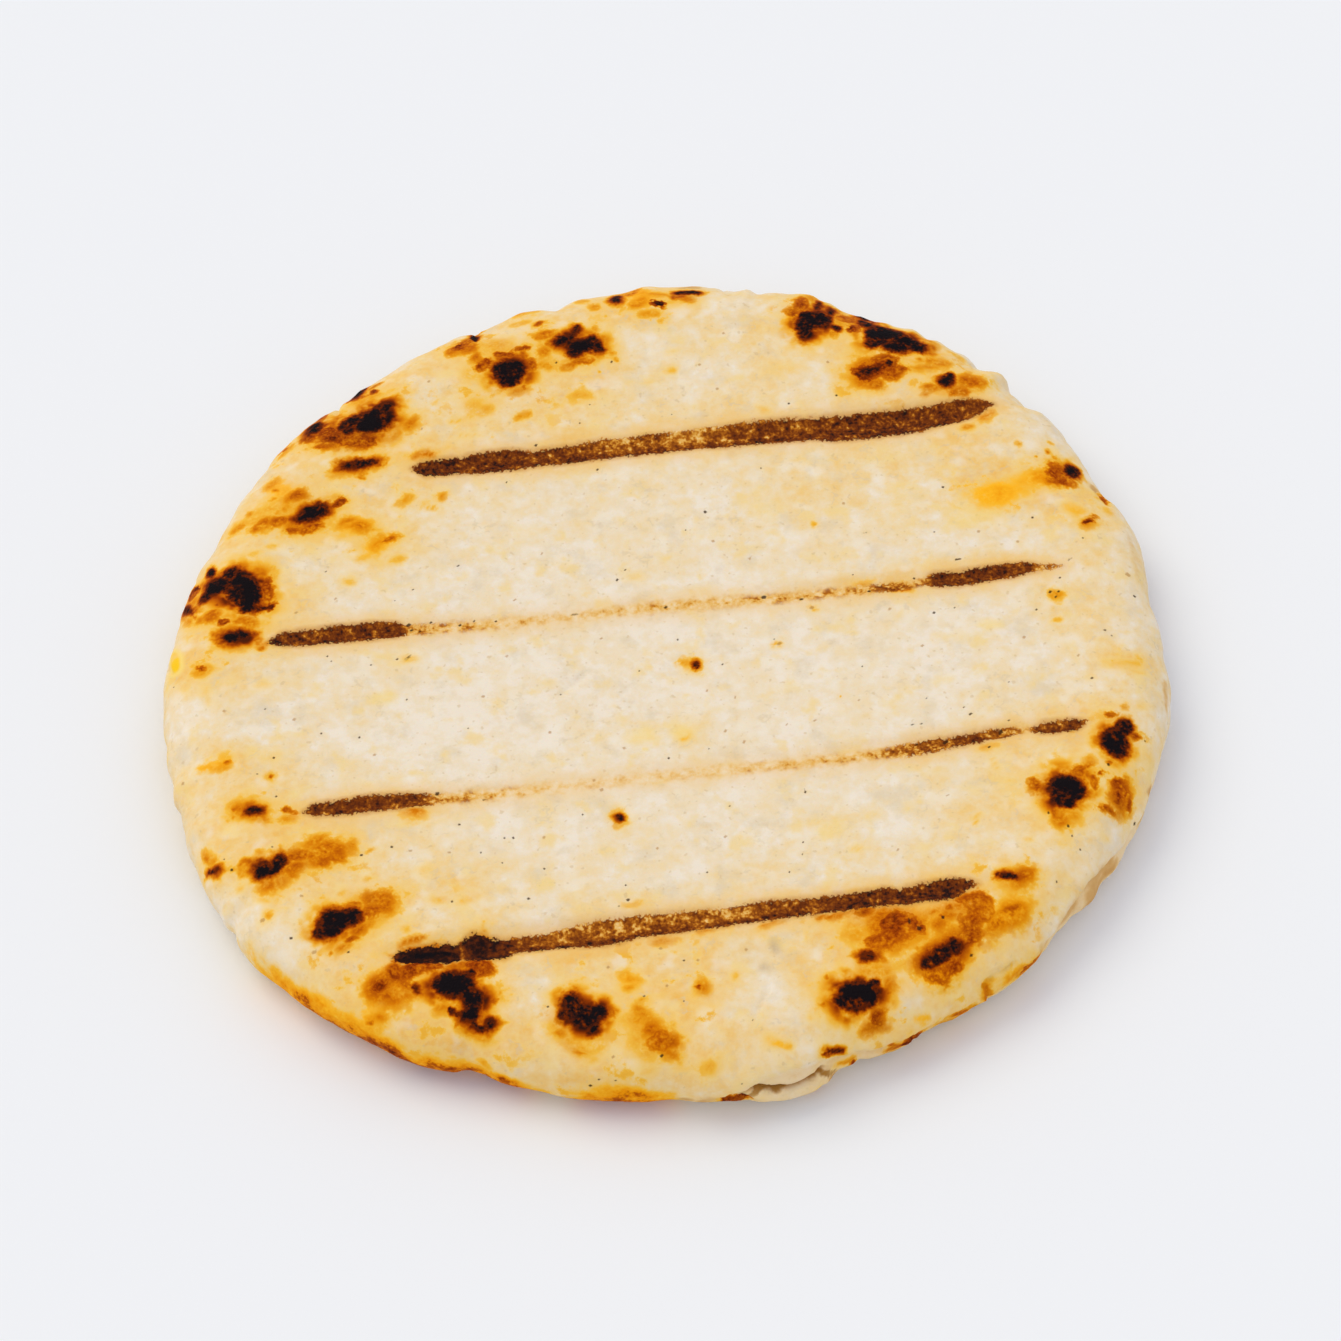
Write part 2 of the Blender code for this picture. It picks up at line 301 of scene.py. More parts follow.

# ---------------------------------------------------------------------------
# What the grill did to the crust, and some painted shade on the rim.  Lobes are ellipses: place (u, v), length,
# width, turn in degrees.
# ---------------------------------------------------------------------------

# burnt black: (u, v, length, width, turn, halo)
CHARS = (
    # back left
    (-30.3, 40.5, 4.6, 3.8, 20, 1.0), (-28.9, 42.2, 2.8, 2.0, 30, 0.8),
    (-32.3, 40.9, 3.2, 2.6, 0, 1.1), (-33.3, 39.7, 1.6, 1.4, 0, 1.0),
    (-31.6, 47.9, 1.5, 3.0, -10, 0.9), (-37.2, 41.6, 1.7, 2.4, -15, 1.1),
    (-39.2, 27, 4.4, 1.9, 25, 0.9), (-32.7, 34.0, 4.6, 1.1, 2, 0.6),
    (-12.9, 46.0, 3.6, 3.6, 0, 0.9), (-12.0, 46.5, 2.4, 2.2, 0, 0.8),
    (-13.1, 44.6, 2.2, 1.8, 0, 0.9), (-16.1, 53.6, 0.8, 2.4, 0, 0.7),
    (-5.5, 50, 2.4, 1.6, 10, 0.9), (-4, 51.4, 0.9, 1.8, -20, 0.6),
    (-3.1, 48.8, 4.0, 2.2, 5, 0.9), (-4.7, 47.8, 1.4, 1.4, 0, 0.8),
    (-1.4, 48.2, 1.4, 1.2, 0, 0.6), (-2, 49.8, 1.0, 0.9, 0, 0.6),
    (1.9, 56.9, 1.0, 2.2, 0, 0.7), (10.6, 56.9, 2.5, 1.1, 0, 0.3),
    (12.1, 56.5, 0.9, 0.8, 0, 0.6),
    # back right
    (26, 49.1, 3.4, 3.0, 0, 0.9), (24.2, 48, 1.7, 3.6, -5, 1.0),
    (28.2, 47.4, 1.0, 1.0, 0, 0.5), (24.9, 50.2, 2.0, 1.4, 0, 0.8),
    (26.6, 52.2, 0.6, 2.4, -15, 0.7), (28.1, 51.2, 0.6, 1.8, -20, 0.8),
    (33.5, 45.9, 3.8, 3.6, 0, 0.9), (36.7, 43.9, 4.4, 2.3, -38, 0.9),
    (34.9, 45.4, 2.8, 2.6, 0, 0.9), (34.8, 43.2, 3.0, 1.6, -20, 0.8),
    (32.4, 51.0, 2.0, 1.2, -30, 0.6), (32.1, 48.7, 1.4, 2.6, 15, 0.9),
    (32.1, 44.4, 1.6, 1.4, 0, 0.8), (30.8, 39.3, 1.3, 0.9, -5, 0.6),
    (33.7, 40.6, 0.8, 1.0, 0, 0.6), (40, 37, 2.1, 1.5, 10, 0.7),
    (40.9, 37.9, 0.9, 0.9, 0, 0.5), (53.2, 21.8, 2.0, 2.2, -10, 0.7),
    # left
    (-48.4, 16.4, 4.0, 5.6, 10, 0.9), (-49.6, 19.6, 2.2, 1.8, 0, 0.7),
    (-51.6, 18.2, 3.2, 2.6, -10, 0.8), (-53.2, 17.2, 1.7, 1.3, 0, 0.7),
    (-52.4, 21.2, 1.1, 1.6, 15, 0.6), (-48.1, 13.7, 2.0, 1.4, 0, 0.9),
    (-50.0, 9.4, 3.4, 1.35, -3, 0.8), (-56.1, 17.2, 3.0, 0.6, -54, 1.0),
    (-50.7, -16.3, 1.9, 1.0, -10, 1.3), (-56.6, -22.5, 2.0, 0.5, -12, 0.7),
    (-50.4, -24.7, 2.0, 2.0, 20, 0.8), (-48.5, -24.2, 1.8, 1.5, 20, 0.8),
    (-49.4, -25.1, 1.6, 1.1, 0, 0.9),
    (-43.1, -33.5, 3.6, 3.0, 15, 0.8), (-40.9, -33.2, 2.1, 2.2, 0, 0.9),
    (-43.5, -34.8, 2.3, 1.3, 10, 0.8), (-44.9, -34.4, 1.4, 1.3, 0, 0.7),
    # front left, below the nearest grill mark
    (-30.4, -44.3, 4.6, 3.3, -12, 0.9), (-28.4, -46.3, 2.3, 2.5, 0, 0.8),
    (-28.8, -48, 1.7, 2.5, -15, 0.8), (-29.9, -48.3, 1.2, 1.2, 0, 0.6),
    (-31, -47.6, 0.7, 1.0, 30, 0.4), (-28.3, -50, 1.9, 0.7, -35, 0.6),
    (-27.1, -49.8, 1.1, 1.3, 0, 0.5), (-28.4, -42.8, 0.9, 1.2, 0, 0.8),
    (-33, -39.6, 7.0, 1.5, 0, 0.6), (-27, -39.3, 2.4, 2.4, 0, 0.6),
    (-17.6, -48.8, 2.1, 2.8, 10, 0.9), (-16.4, -50.6, 3.4, 2.8, 0, 0.9),
    (-15.1, -50.2, 2.4, 2.2, 0, 0.9), (-15.5, -52.4, 1.4, 1.2, 30, 0.8),
    (-18.3, -50.1, 1.5, 1.3, 0, 0.9), (-34.9, -44.1, 0.6, 1.2, 25, 0.7),
    # front right
    (13.9, -52.1, 3.2, 2.8, 0, 0.9), (14.7, -51.6, 4.2, 3.0, 0, 0.9), (16.0, -51.7, 2.6, 3.0, 0, 0.9),
    (12.6, -52.5, 1.3, 1.5, 0, 0.7), (17.0, -50.5, 1.2, 1.1, 0, 0.8),
    (14.4, -53.0, 2.4, 1.2, 0, 0.8), (16.7, -46.8, 1.4, 1.4, 0, 0.8),
    (23.8, -48.5, 2.0, 1.7, 20, 1.1), (25.2, -47.5, 2.4, 1.8, 30, 1.1),
    (26.8, -46.6, 2.0, 1.8, 25, 1.1),
    (43.4, -26.1, 3.6, 2.8, 0, 1.0), (42.2, -27.1, 1.4, 3.2, 0, 1.1),
    (44.4, -26.9, 2.2, 2.6, 0, 1.0), (43.4, -28.5, 1.6, 1.6, 0, 0.9),
    (50.4, -20.5, 3.0, 3.7, 0, 0.7), (51.8, -18.4, 2.2, 1.9, 20, 0.6),
    (34.5, -38, 2.6, 0.7, -3, 0.6), (3.5, -2.1, 0.8, 1.2, 0, 0.4),
    (28.9, 6, 1.9, 0.7, 0, 0.4), (11.5, -58.1, 2.1, 0.5, -3, 0.2),
    (-8.6, -23.4, 0.8, 1.0, 0, 0.5),
)

# toast lobes, and a few lobes of painted shade low on the front wall: (u, v, length, width, turn, level), 0.15
# straw, 0.3 gold, 0.45 orange, 0.6 rust, 0.75 dark brown
TOASTS_AND_SHADE = (
    # back left
    (-33.5, 38.1, 7.2, 2.8, -12, 0.68), (-31.8, 39.6, 10.5, 7.5, 10, 0.40), (-38.2, 40.3, 2.6, 2.4, 0, 0.62),
    (-35.6, 40.5, 2.2, 3.4, -10, 0.58), (-27.2, 40.1, 3.0, 3.0, 0, 0.42),
    (-29.6, 46.2, 1.3, 1.6, 0, 0.72), (-30.8, 45.1, 5.0, 2.5, 0, 0.36),
    (-27.2, 45.5, 1.4, 1.0, 0, 0.30), (-41.6, 40.2, 1.4, 1.8, 0, 0.60),
    (-33.2, 33.4, 6.0, 1.9, 0, 0.50), (-31.1, 33.6, 2.2, 1.0, 5, 0.60),
    (-42.5, 31.4, 3.2, 3.2, 0, 0.30), (-43.5, 32, 0.9, 0.8, 0, 0.55),
    (-43.5, 30.2, 0.9, 0.8, 0, 0.55), (-40.6, 29.4, 1.2, 1.0, 0, 0.50),
    (-42, 28.4, 1.0, 1.0, 0, 0.50), (-46.8, 29.2, 1.2, 1.0, 0, 0.50),
    (-48.1, 27.1, 1.4, 1.0, 0, 0.50), (-44.9, 26.2, 2.0, 0.8, 0, 0.50),
    (-43.5, 27.9, 10.0, 5.0, 0, 0.30), (-35.8, 28.2, 2.6, 1.0, 25, 0.70),
    (-42, 24.9, 2.0, 1.2, 10, 0.62), (-39.5, 24.4, 1.6, 1.0, 0, 0.60),
    (-40.5, 25.6, 6.0, 3.4, 10, 0.46), (-37.5, 29.4, 4.0, 2.0, 30, 0.25),
    (-34, 24.4, 3.0, 1.3, 10, 0.48), (-34, 23.9, 6.0, 3.2, 10, 0.28),
    (-30.5, 21.6, 2.4, 1.0, 20, 0.60), (-33, 20.1, 4.5, 1.6, 30, 0.30),
    (-29.5, 18.4, 2.0, 1.4, 0, 0.30), (-35.8, 16.2, 1.8, 1.2, 0, 0.28),
    (-44.4, 22.5, 2.0, 1.2, 0, 0.30), (-46.8, 21.8, 1.6, 1.2, 0, 0.30),
    (-28, 27.4, 2.0, 0.8, 10, 0.45), (-23.6, 27.7, 1.3, 1.0, 0, 0.50),
    (-25, 26.2, 1.5, 1.0, 0, 0.35), (-17.7, 41.4, 3.4, 3.6, 0, 0.27),
    (-20.2, 38.9, 1.6, 0.8, 0, 0.30), (-18.6, 39.6, 0.9, 0.8, 0, 0.32),
    (-11.9, 38.5, 2.3, 1.3, 25, 0.42), (-18.6, 36.5, 3.0, 0.7, 10, 0.27),
    (-22.2, 35.1, 2.5, 0.7, 20, 0.25), (-8.6, 36.5, 1.4, 1.0, 0, 0.22),
    (-18.6, 51.5, 2.0, 2.2, 0, 0.68), (-17.6, 52.2, 2.2, 1.6, 30, 0.62),
    (-16.4, 49, 1.4, 1.8, 0, 0.55), (-15.1, 47.4, 1.0, 1.9, 20, 0.75),
    (-12.9, 48.8, 2.4, 1.2, 0, 0.66), (-10.8, 49.7, 1.8, 0.8, 0, 0.66),
    (-11.2, 43.1, 0.8, 0.8, 0, 0.66), (-8.8, 46.2, 3.4, 1.1, 0, 0.45),
    (-14.6, 50.3, 7.0, 4.6, 0, 0.28), (-14.1, 46.3, 9.0, 5.0, 0, 0.24), (-17.6, 46, 2.2, 2.2, 0, 0.27),
    (-8.3, 53.6, 1.2, 1.1, -20, 0.64), (-8.1, 51.2, 2.6, 0.8, -10, 0.55),
    (-7.4, 49.5, 2.4, 1.1, 0, 0.42), (-4.4, 46.5, 2.0, 1.6, 0, 0.48),
    (-1.2, 51.3, 1.4, 1.8, 20, 0.40), (-0.9, 55.9, 1.8, 1.6, 0, 0.42),
    (5.2, 56.7, 3.6, 3.4, 0, 0.36), (5, 55.9, 2.4, 1.6, 0, 0.45),
    (6.9, 54.9, 1.5, 1.5, 0, 0.84), (5.4, 52.6, 2.4, 0.9, -10, 0.42),
    (6.8, 51.7, 0.9, 0.9, 0, 0.50), (9.5, 55.3, 5.0, 2.0, 0, 0.25),
    (6.9, 43.3, 1.7, 1.3, 0, 0.30), (2.8, 42, 3.4, 1.5, 0, 0.18),
    (7.3, 46.5, 2.2, 1.0, 0, 0.20), (17.3, 35.6, 1.5, 1.4, 0, 0.27),
    (-5, 40.9, 1.3, 1.2, 0, 0.42), (-4.4, 42, 0.9, 0.9, 0, 0.35),
    # back right
    (24.7, 52.6, 1.6, 3.2, -25, 0.60), (28.2, 51.5, 1.5, 3.0, -20, 0.58),
    (26.4, 54, 2.4, 2.4, -20, 0.45), (23.1, 49.3, 2.0, 4.5, 0, 0.38),
    (28.6, 49, 1.5, 3.0, 0, 0.40), (25.5, 46, 4.0, 1.0, 0, 0.35),
    (31.5, 50.5, 1.4, 2.4, 15, 0.66), (30.5, 47.7, 1.4, 4.0, 0, 0.42),
    (30.8, 39.6, 4.2, 2.4, 5, 0.78), (33.1, 40.9, 3.0, 2.8, 0, 0.72),
    (31.7, 40.3, 6.4, 4.2, 10, 0.50),
    (32, 41.8, 0.9, 0.8, 0, 0.70), (29.8, 38.6, 4.2, 3.0, 0, 0.46),
    (29.2, 40.2, 1.8, 2.2, 0, 0.38), (38.9, 43.3, 1.2, 2.6, -30, 0.50),
    (43, 36.7, 4.4, 2.8, -8, 0.53), (40.5, 35.5, 7.0, 2.4, 0, 0.30), (43.6, 36.7, 1.8, 1.1, 0, 0.52),
    (38.1, 39.3, 4.6, 1.6, -8, 0.44), (39.8, 41.6, 3.2, 2.6, -40, 0.28),
    (37.2, 35, 1.2, 1.0, 0, 0.50), (46.4, 36.3, 0.9, 0.7, 0, 0.35),
    (50.7, 19.9, 3.6, 2.2, 8, 0.56), (51.4, 19.7, 2.0, 1.2, 0, 0.70),
    (49.5, 20.5, 4.6, 3.0, 18, 0.42),
    (47.1, 19.9, 4.0, 2.2, 10, 0.30), (42.8, 18.5, 6.0, 4.4, 0, 0.30), (42, 18.3, 3.4, 2.6, 0, 0.38),
    (45.6, 18.8, 3.5, 2.0, 0, 0.28), (51.1, 26.6, 1.0, 0.8, 0, 0.40),
    (47.1, 26, 0.9, 0.7, 0, 0.42), (53.4, 13, 1.8, 1.1, 5, 0.70),
    (54.2, 13.8, 0.8, 0.8, 0, 0.60), (52, 15, 3.2, 2.2, 0, 0.28),
    (56.6, 13.8, 3.0, 2.0, 0, 0.16), (20.8, 41.4, 5.0, 3.0, 0, 0.15),
    (36, 25.8, 4.0, 2.0, 0, 0.10), (30, 17.8, 4.0, 2.5, 0, 0.10),
    (56.8, 18, 0.8, 2.2, 5, 0.66),
    # left
    (-47.4, 13.4, 4.2, 1.5, 5, 0.76), (-45.4, 13.7, 0.9, 0.8, 0, 0.80),
    (-51.2, 12, 1.4, 1.0, 0, 0.70), (-52.3, 13.6, 2.2, 1.6, 0, 0.50),
    (-54, 13.4, 1.2, 0.9, 0, 0.50), (-44.6, 17.3, 1.2, 5.0, 0, 0.35),
    (-47.8, 11.4, 5.0, 1.6, 0, 0.30), (-55, 17.6, 3.2, 2.6, -50, 0.42),
    (-55.2, 19.9, 2.8, 1.2, -15, 0.72), (-57, 16.2, 3.0, 1.2, -50, 0.42),
    (-49.9, 8.8, 6.0, 2.4, 0, 0.42), (-54.9, 5.9, 1.1, 1.3, 0, 0.72),
    (-54.3, 5.7, 2.8, 1.7, -25, 0.42), (-53, 5.1, 2.0, 1.0, 0, 0.27),
    (-54.3, 1.4, 1.6, 3.2, 0, 0.20), (-47.5, 2.1, 2.6, 1.6, 0, 0.20),
    (-57, 3.3, 1.4, 1.0, 0, 0.18), (-52, 3, 3.0, 1.6, 0, 0.12),
    (-54.7, -8.7, 4.0, 1.2, 0, 0.38), (-53.1, -8.6, 0.9, 0.7, 0, 0.60),
    (-47.7, -8.6, 3.0, 2.2, 0, 0.20), (-48.1, -11.6, 0.9, 0.8, 0, 0.60),
    (-50.8, -16.1, 4.8, 3.0, -15, 0.46), (-53, -15.1, 2.5, 1.8, 0, 0.32),
    (-47, -16.5, 0.9, 0.8, 0, 0.72), (-46.3, -17.2, 1.6, 0.7, -45, 0.60),
    (-37.2, -14.3, 2.0, 1.2, 0, 0.18), (-33.5, -13.7, 1.6, 1.0, 0, 0.18),
    (-32.5, -19.2, 3.2, 0.8, -5, 0.48), (-57.1, -20.4, 3.0, 1.3, -40, 0.40),
    (-56.6, -22.5, 3.0, 1.2, -12, 0.52), (-46.2, -23.6, 3.4, 2.0, 15, 0.62),
    (-42.9, -23.4, 5.0, 3.4, 10, 0.55), (-45.7, -24.2, 8.0, 5.0, 15, 0.30), (-39.7, -23, 1.3, 2.0, 0, 0.48),
    (-37.9, -23.8, 0.9, 0.7, 0, 0.50), (-48.2, -26.4, 3.4, 1.8, 30, 0.42),
    (-50.7, -22.4, 1.2, 1.2, 0, 0.40), (-50.7, -28.9, 2.0, 0.9, -20, 0.28),
    (-50.5, -31.2, 0.9, 0.7, 0, 0.45), (-53.3, -26.5, 1.0, 1.0, 0, 0.28),
    (-38.2, -28.1, 1.4, 0.8, 0, 0.35), (-41.6, -29.6, 1.2, 0.8, 0, 0.30),
    (-37.7, -31.6, 4.0, 3.6, -10, 0.56), (-40.1, -33.2, 8.0, 6.0, 15, 0.32), (-41.3, -31.8, 3.4, 1.3, 10, 0.60),
    (-39, -34.2, 1.8, 1.5, 0, 0.48), (-41.1, -36.2, 1.7, 1.2, 20, 0.60),
    (-43.2, -35.8, 3.0, 1.2, 20, 0.42), (-44.8, -37, 1.0, 0.7, 20, 0.42),
    (-42.7, -37.2, 4.0, 2.5, 0, 0.18), (-30.7, -32.2, 2.3, 1.9, 0, 0.25),
    (-27.5, -32.6, 2.8, 1.8, 10, 0.25), (-31.9, -28, 2.4, 2.2, 0, 0.20),
    (-35.3, -36.1, 1.2, 1.5, 0, 0.28), (-34, -37.6, 1.6, 0.8, 0, 0.50),
    # front left
    (-38.2, -43.3, 5.4, 4.4, -10, 0.54), (-38.9, -43.2, 1.8, 1.6, 0, 0.68),
    (-36, -43.3, 1.2, 2.2, 30, 0.60), (-36.2, -41.7, 3.0, 1.6, -30, 0.58),
    (-34.9, -41.6, 5.0, 1.6, 0, 0.45), (-33, -42.4, 7.0, 2.2, 0, 0.33),
    (-26.8, -42.6, 2.6, 2.4, -20, 0.60), (-29, -41.8, 2.0, 2.0, 0, 0.56),
    (-26.4, -47.2, 1.3, 1.0, 20, 0.62), (-32.2, -47.1, 2.6, 1.6, 0, 0.48),
    (-30.2, -48.9, 1.4, 0.8, 30, 0.60), (-27.2, -48.1, 2.4, 4.4, 0, 0.33),
    (-29, -50.4, 4.0, 1.8, -30, 0.40), (-27.5, -51.7, 3.0, 1.2, 0, 0.24),
    (-33, -45.9, 2.0, 3.0, 0, 0.33), (-26, -41.4, 5.0, 0.9, 0, 0.45),
    (-47.2, -42.9, 4.2, 3.0, -30, 0.38), (-43.7, -46.2, 4.4, 3.0, -35, 0.38),
    (-41.4, -47.5, 4.4, 3.6, 0, 0.34), (-40.8, -46.7, 0.9, 0.8, 0, 0.62),
    (-43.3, -48.9, 2.2, 0.7, -10, 0.70), (-42, -49.3, 1.0, 0.6, -20, 0.60),
    (-38.8, -50.6, 3.0, 2.6, -30, 0.30), (-36, -52.8, 3.2, 2.6, -20, 0.35),
    (-33, -54.7, 5.5, 3.0, -15, 0.40), (-30.4, -55.9, 3.0, 2.6, 0, 0.44),
    (-29.1, -54.5, 1.0, 1.6, 30, 0.42), (-26.4, -58.5, 3.4, 2.0, -20, 0.38),
    (-23.5, -59.5, 3.0, 1.6, -20, 0.30), (-19, -59.9, 4.0, 1.6, -10, 0.28),
    (-15.5, -61, 5.0, 3.0, -5, 0.35), (-12.3, -62.2, 4.0, 2.2, -5, 0.30),
    (-16.2, -59.7, 2.0, 1.2, 0, 0.33),
    (-11.8, -51.7, 2.0, 1.6, 0, 0.30), (-10.1, -51.8, 3.2, 2.0, 0, 0.42),
    (-8.9, -53.2, 3.6, 3.0, -20, 0.48), (-8.2, -54.7, 3.0, 3.4, -10, 0.60),
    (-8.1, -54.7, 1.3, 1.6, 0, 0.64), (-7.5, -56.5, 3.2, 1.6, -25, 0.45),
    (-9.5, -54.2, 5.4, 6.4, 0, 0.30), (-6, -55.3, 1.5, 2.0, 0, 0.33),
    (-19.1, -50.2, 1.4, 1.8, 0, 0.62), (-13.8, -50.6, 1.4, 2.0, 0, 0.60),
    (-19.3, -52.1, 1.6, 1.6, 0, 0.50), (-17.7, -54.5, 2.0, 0.8, -25, 0.50),
    (-16, -55.7, 1.0, 0.8, 0, 0.32), (-16.8, -51.4, 8.0, 8.6, 0, 0.30),
    (-10.8, -47.3, 1.6, 1.5, 0, 0.44), (-10.8, -47.3, 2.8, 2.6, 0, 0.25),
    (-9.3, -49.2, 1.2, 0.6, 15, 0.52), (-8.3, -49.2, 3.5, 1.5, 0, 0.18),
    (-2.7, -48.4, 2.0, 1.8, 0, 0.42), (-3.1, -48.5, 0.9, 0.8, 0, 0.68),
    (-1.9, -50.8, 1.0, 2.4, 15, 0.30), (-1.5, -52.7, 1.4, 3.4, 10, 0.22),
    (-2.5, -51.2, 4.0, 4.0, 0, 0.13), (1.3, -47.6, 1.0, 1.3, 0, 0.38),
    (1.9, -47.4, 2.0, 2.0, 0, 0.14), (5, -57.1, 2.2, 0.9, -20, 0.34),
    (3.9, -56.2, 1.5, 1.5, -30, 0.22), (-10.5, -58.1, 2.4, 1.4, 0, 0.30),
    (-3, -58.6, 2.4, 2.0, 0, 0.28), (-2.8, -58.4, 1.1, 1.3, 0, 0.36),
    (-6, -58.2, 3.4, 0.9, 0, 0.22), (-12.9, -58.4, 8.0, 3.0, 0, 0.12),
    (-8.5, -24.4, 2.2, 1.4, 0, 0.36), (-8.6, -23.4, 1.3, 1.4, 0, 0.60),
    (-8.6, -35.9, 2.6, 1.0, 0, 0.32),
    # front right
    (16.7, -55.5, 3.4, 1.8, 0, 0.52), (16.8, -55, 1.8, 0.9, 0, 0.66),
    (20.6, -43.1, 8.0, 6.8, -10, 0.43), (21.1, -42.8, 4.8, 3.8, 0, 0.66),
    (26.5, -42.1, 10.0, 3.4, 10, 0.41), (25.8, -47.2, 10.0, 4.8, 28, 0.56),
    (33.7, -43.3, 6.8, 3.2, 32, 0.49), (16, -43.6, 3.6, 7.5, 10, 0.30),
    (17.2, -48.7, 4.4, 2.4, 0, 0.42), (30.8, -41.8, 3.4, 4.0, 0, 0.60),
    (35, -38.7, 4.2, 3.6, 0, 0.36), (15.2, -52.0, 7.2, 5.0, 0, 0.3),
    (18.4, -50.5, 2.2, 3.0, 0, 0.50), (26, -40.6, 10.0, 1.4, 0, 0.34),
    (16.4, -49.7, 3.0, 1.4, 0, 0.35), (19, -52.1, 1.3, 3.6, 0, 0.36),
    (11.4, -52.2, 1.5, 3.0, 0, 0.35), (9.4, -54, 0.9, 0.7, 0, 0.28),
    (18.3, -46.7, 1.7, 2.1, 20, 0.55), (15.6, -47.1, 1.2, 2.4, 0, 0.35),
    (17.1, -48.5, 2.5, 1.2, 0, 0.33), (14.9, -43.3, 1.6, 1.2, 10, 0.30),
    (22.4, -54.9, 2.0, 0.9, 5, 0.35), (12.3, -58.1, 1.6, 0.8, 0, 0.50), (10.8, -58.2, 1.3, 0.8, 0, 0.74),
    (23.3, -43.8, 0.9, 1.0, 0, 0.74), (22.3, -42.7, 1.3, 1.7, 0, 0.66),
    (20.2, -44.3, 1.9, 1.7, 0, 0.66), (21.9, -44.7, 1.3, 1.1, 0, 0.60),
    (18.8, -42.7, 3.0, 4.0, 0, 0.40), (19.4, -45.6, 3.0, 2.0, 0, 0.40),
    (26.1, -42.7, 0.8, 0.9, 0, 0.68), (27.1, -41.5, 1.3, 1.3, -30, 0.56),
    (24.4, -43.7, 2.4, 1.6, 20, 0.33), (30.6, -40.9, 2.0, 1.3, -10, 0.72),
    (31.6, -40.3, 1.2, 0.8, 0, 0.50), (30.6, -42.6, 2.1, 1.7, 0, 0.66),
    (29.2, -43.6, 3.6, 2.6, 40, 0.64), (33.8, -42.9, 5.6, 1.8, 35, 0.56),
    (34.8, -41.9, 2.6, 1.6, 30, 0.42), (32.5, -44.3, 3.0, 1.8, 20, 0.40),
    (29, -45.6, 3.4, 2.4, 35, 0.66), (27.5, -44.5, 5.0, 1.6, 15, 0.45),
    (25.4, -47.5, 7.6, 3.8, 28, 0.66), (21.9, -48.5, 2.4, 1.6, 0, 0.42),
    (20, -48.4, 3.0, 1.3, 0, 0.33), (24.6, -50, 4.0, 1.1, 15, 0.42),
    (30, -47, 4.0, 1.4, 25, 0.33), (27, -49.4, 3.0, 1.0, 0, 0.30),
    (40.3, -25.4, 1.4, 2.0, 20, 0.45), (41.4, -29.6, 1.4, 3.4, 5, 0.58),
    (41.8, -31.3, 1.5, 3.2, 0, 0.36), (45.8, -24.3, 3.8, 1.4, 45, 0.58),
    (46.8, -23, 1.5, 2.0, 20, 0.44), (46.7, -26.3, 0.8, 2.2, -5, 0.66),
    (47.7, -24.9, 0.9, 0.8, 0, 0.70), (44.7, -29.3, 2.8, 1.3, 0, 0.42),
    (40.2, -26.9, 2.0, 5.0, 0, 0.34), (40.2, -29.3, 1.0, 3.0, 0, 0.24),
    (44.2, -31.3, 4.0, 2.0, 0, 0.16), (50, -27.4, 3.4, 4.4, -5, 0.56),
    (49.6, -27.6, 1.1, 2.3, -15, 0.72), (51.2, -28.6, 0.9, 1.9, -15, 0.68),
    (49.8, -25.8, 1.5, 0.9, 0, 0.72), (51.5, -26.2, 1.4, 1.6, 0, 0.48),
    (48, -29.4, 2.6, 0.7, 0, 0.66), (50.2, -29.7, 3.0, 0.8, 5, 0.50),
    (50.6, -16.5, 1.6, 1.1, 0, 0.68), (52.4, -15.4, 0.9, 0.8, 0, 0.50),
    (54.3, -15.2, 2.0, 0.8, 0, 0.22), (53.1, -19.1, 1.5, 1.1, -30, 0.70),
    (54.6, -21.7, 4.0, 3.2, -20, 0.16), (49.3, -23.4, 0.8, 0.7, 0, 0.62),
    (36, -21.8, 1.1, 3.2, 5, 0.23), (32.5, -29.5, 0.8, 2.0, -25, 0.30),
    (24.5, -26.7, 1.2, 1.0, 0, 0.18), (18, -31.3, 1.6, 0.9, 0, 0.24),
    (47.2, -33.1, 1.6, 0.8, 0, 0.25), (37.8, -33.2, 1.0, 0.7, 0, 0.30),
    (38.2, -25.3, 5.0, 4.5, 0, 0.13), (35.3, -37.4, 3.2, 1.5, 10, 0.36),
    (35, -39.5, 3.0, 2.2, 0, 0.32), (34.8, -38.1, 3.2, 1.4, 0, 0.50),
    (53.5, -9, 4.6, 1.2, 0, 0.27), (55, -10.2, 3.0, 0.9, 0, 0.24),
    (55.8, -8.2, 0.9, 1.0, 0, 0.30), (49.4, -10.8, 1.6, 1.0, 0, 0.20),
    (47.6, 2.3, 1.3, 1.3, 0, 0.40), (46.9, -1.5, 0.9, 0.8, 0, 0.38),
    (27.1, -55.7, 5.0, 1.4, 20, 0.35), (30.8, -54.7, 3.0, 1.2, 25, 0.33),
    (31.4, -52, 1.7, 3.2, 20, 0.50), (35.2, -50.1, 4.8, 2.4, 38, 0.50),
    (28.5, -56.8, 5.0, 2.0, 22, 0.40),
    (37.2, -48.9, 1.4, 1.0, -20, 0.86), (22.5, -58.1, 3.6, 1.7, -40, 0.64), (22.8, -58.4, 2.2, 1.0, -40, 0.84),
    (14.7, -61.6, 0.8, 1.4, 20, 0.72), (19.3, -58.4, 0.8, 0.7, 0, 0.62),
    # these two lobes are painted shade in the recess below the front crack
    (-0.4, -64.8, 3.8, 1.3, 0, 0.80), (-1.4, -63.1, 2.4, 0.9, 20, 0.50),
    (9.8, -63.2, 0.5, 0.5, 0, 0.3),
    # middle
    (2.1, -1.9, 2.4, 1.6, -20, 0.36), (3.1, -3, 2.6, 1.0, -20, 0.22),
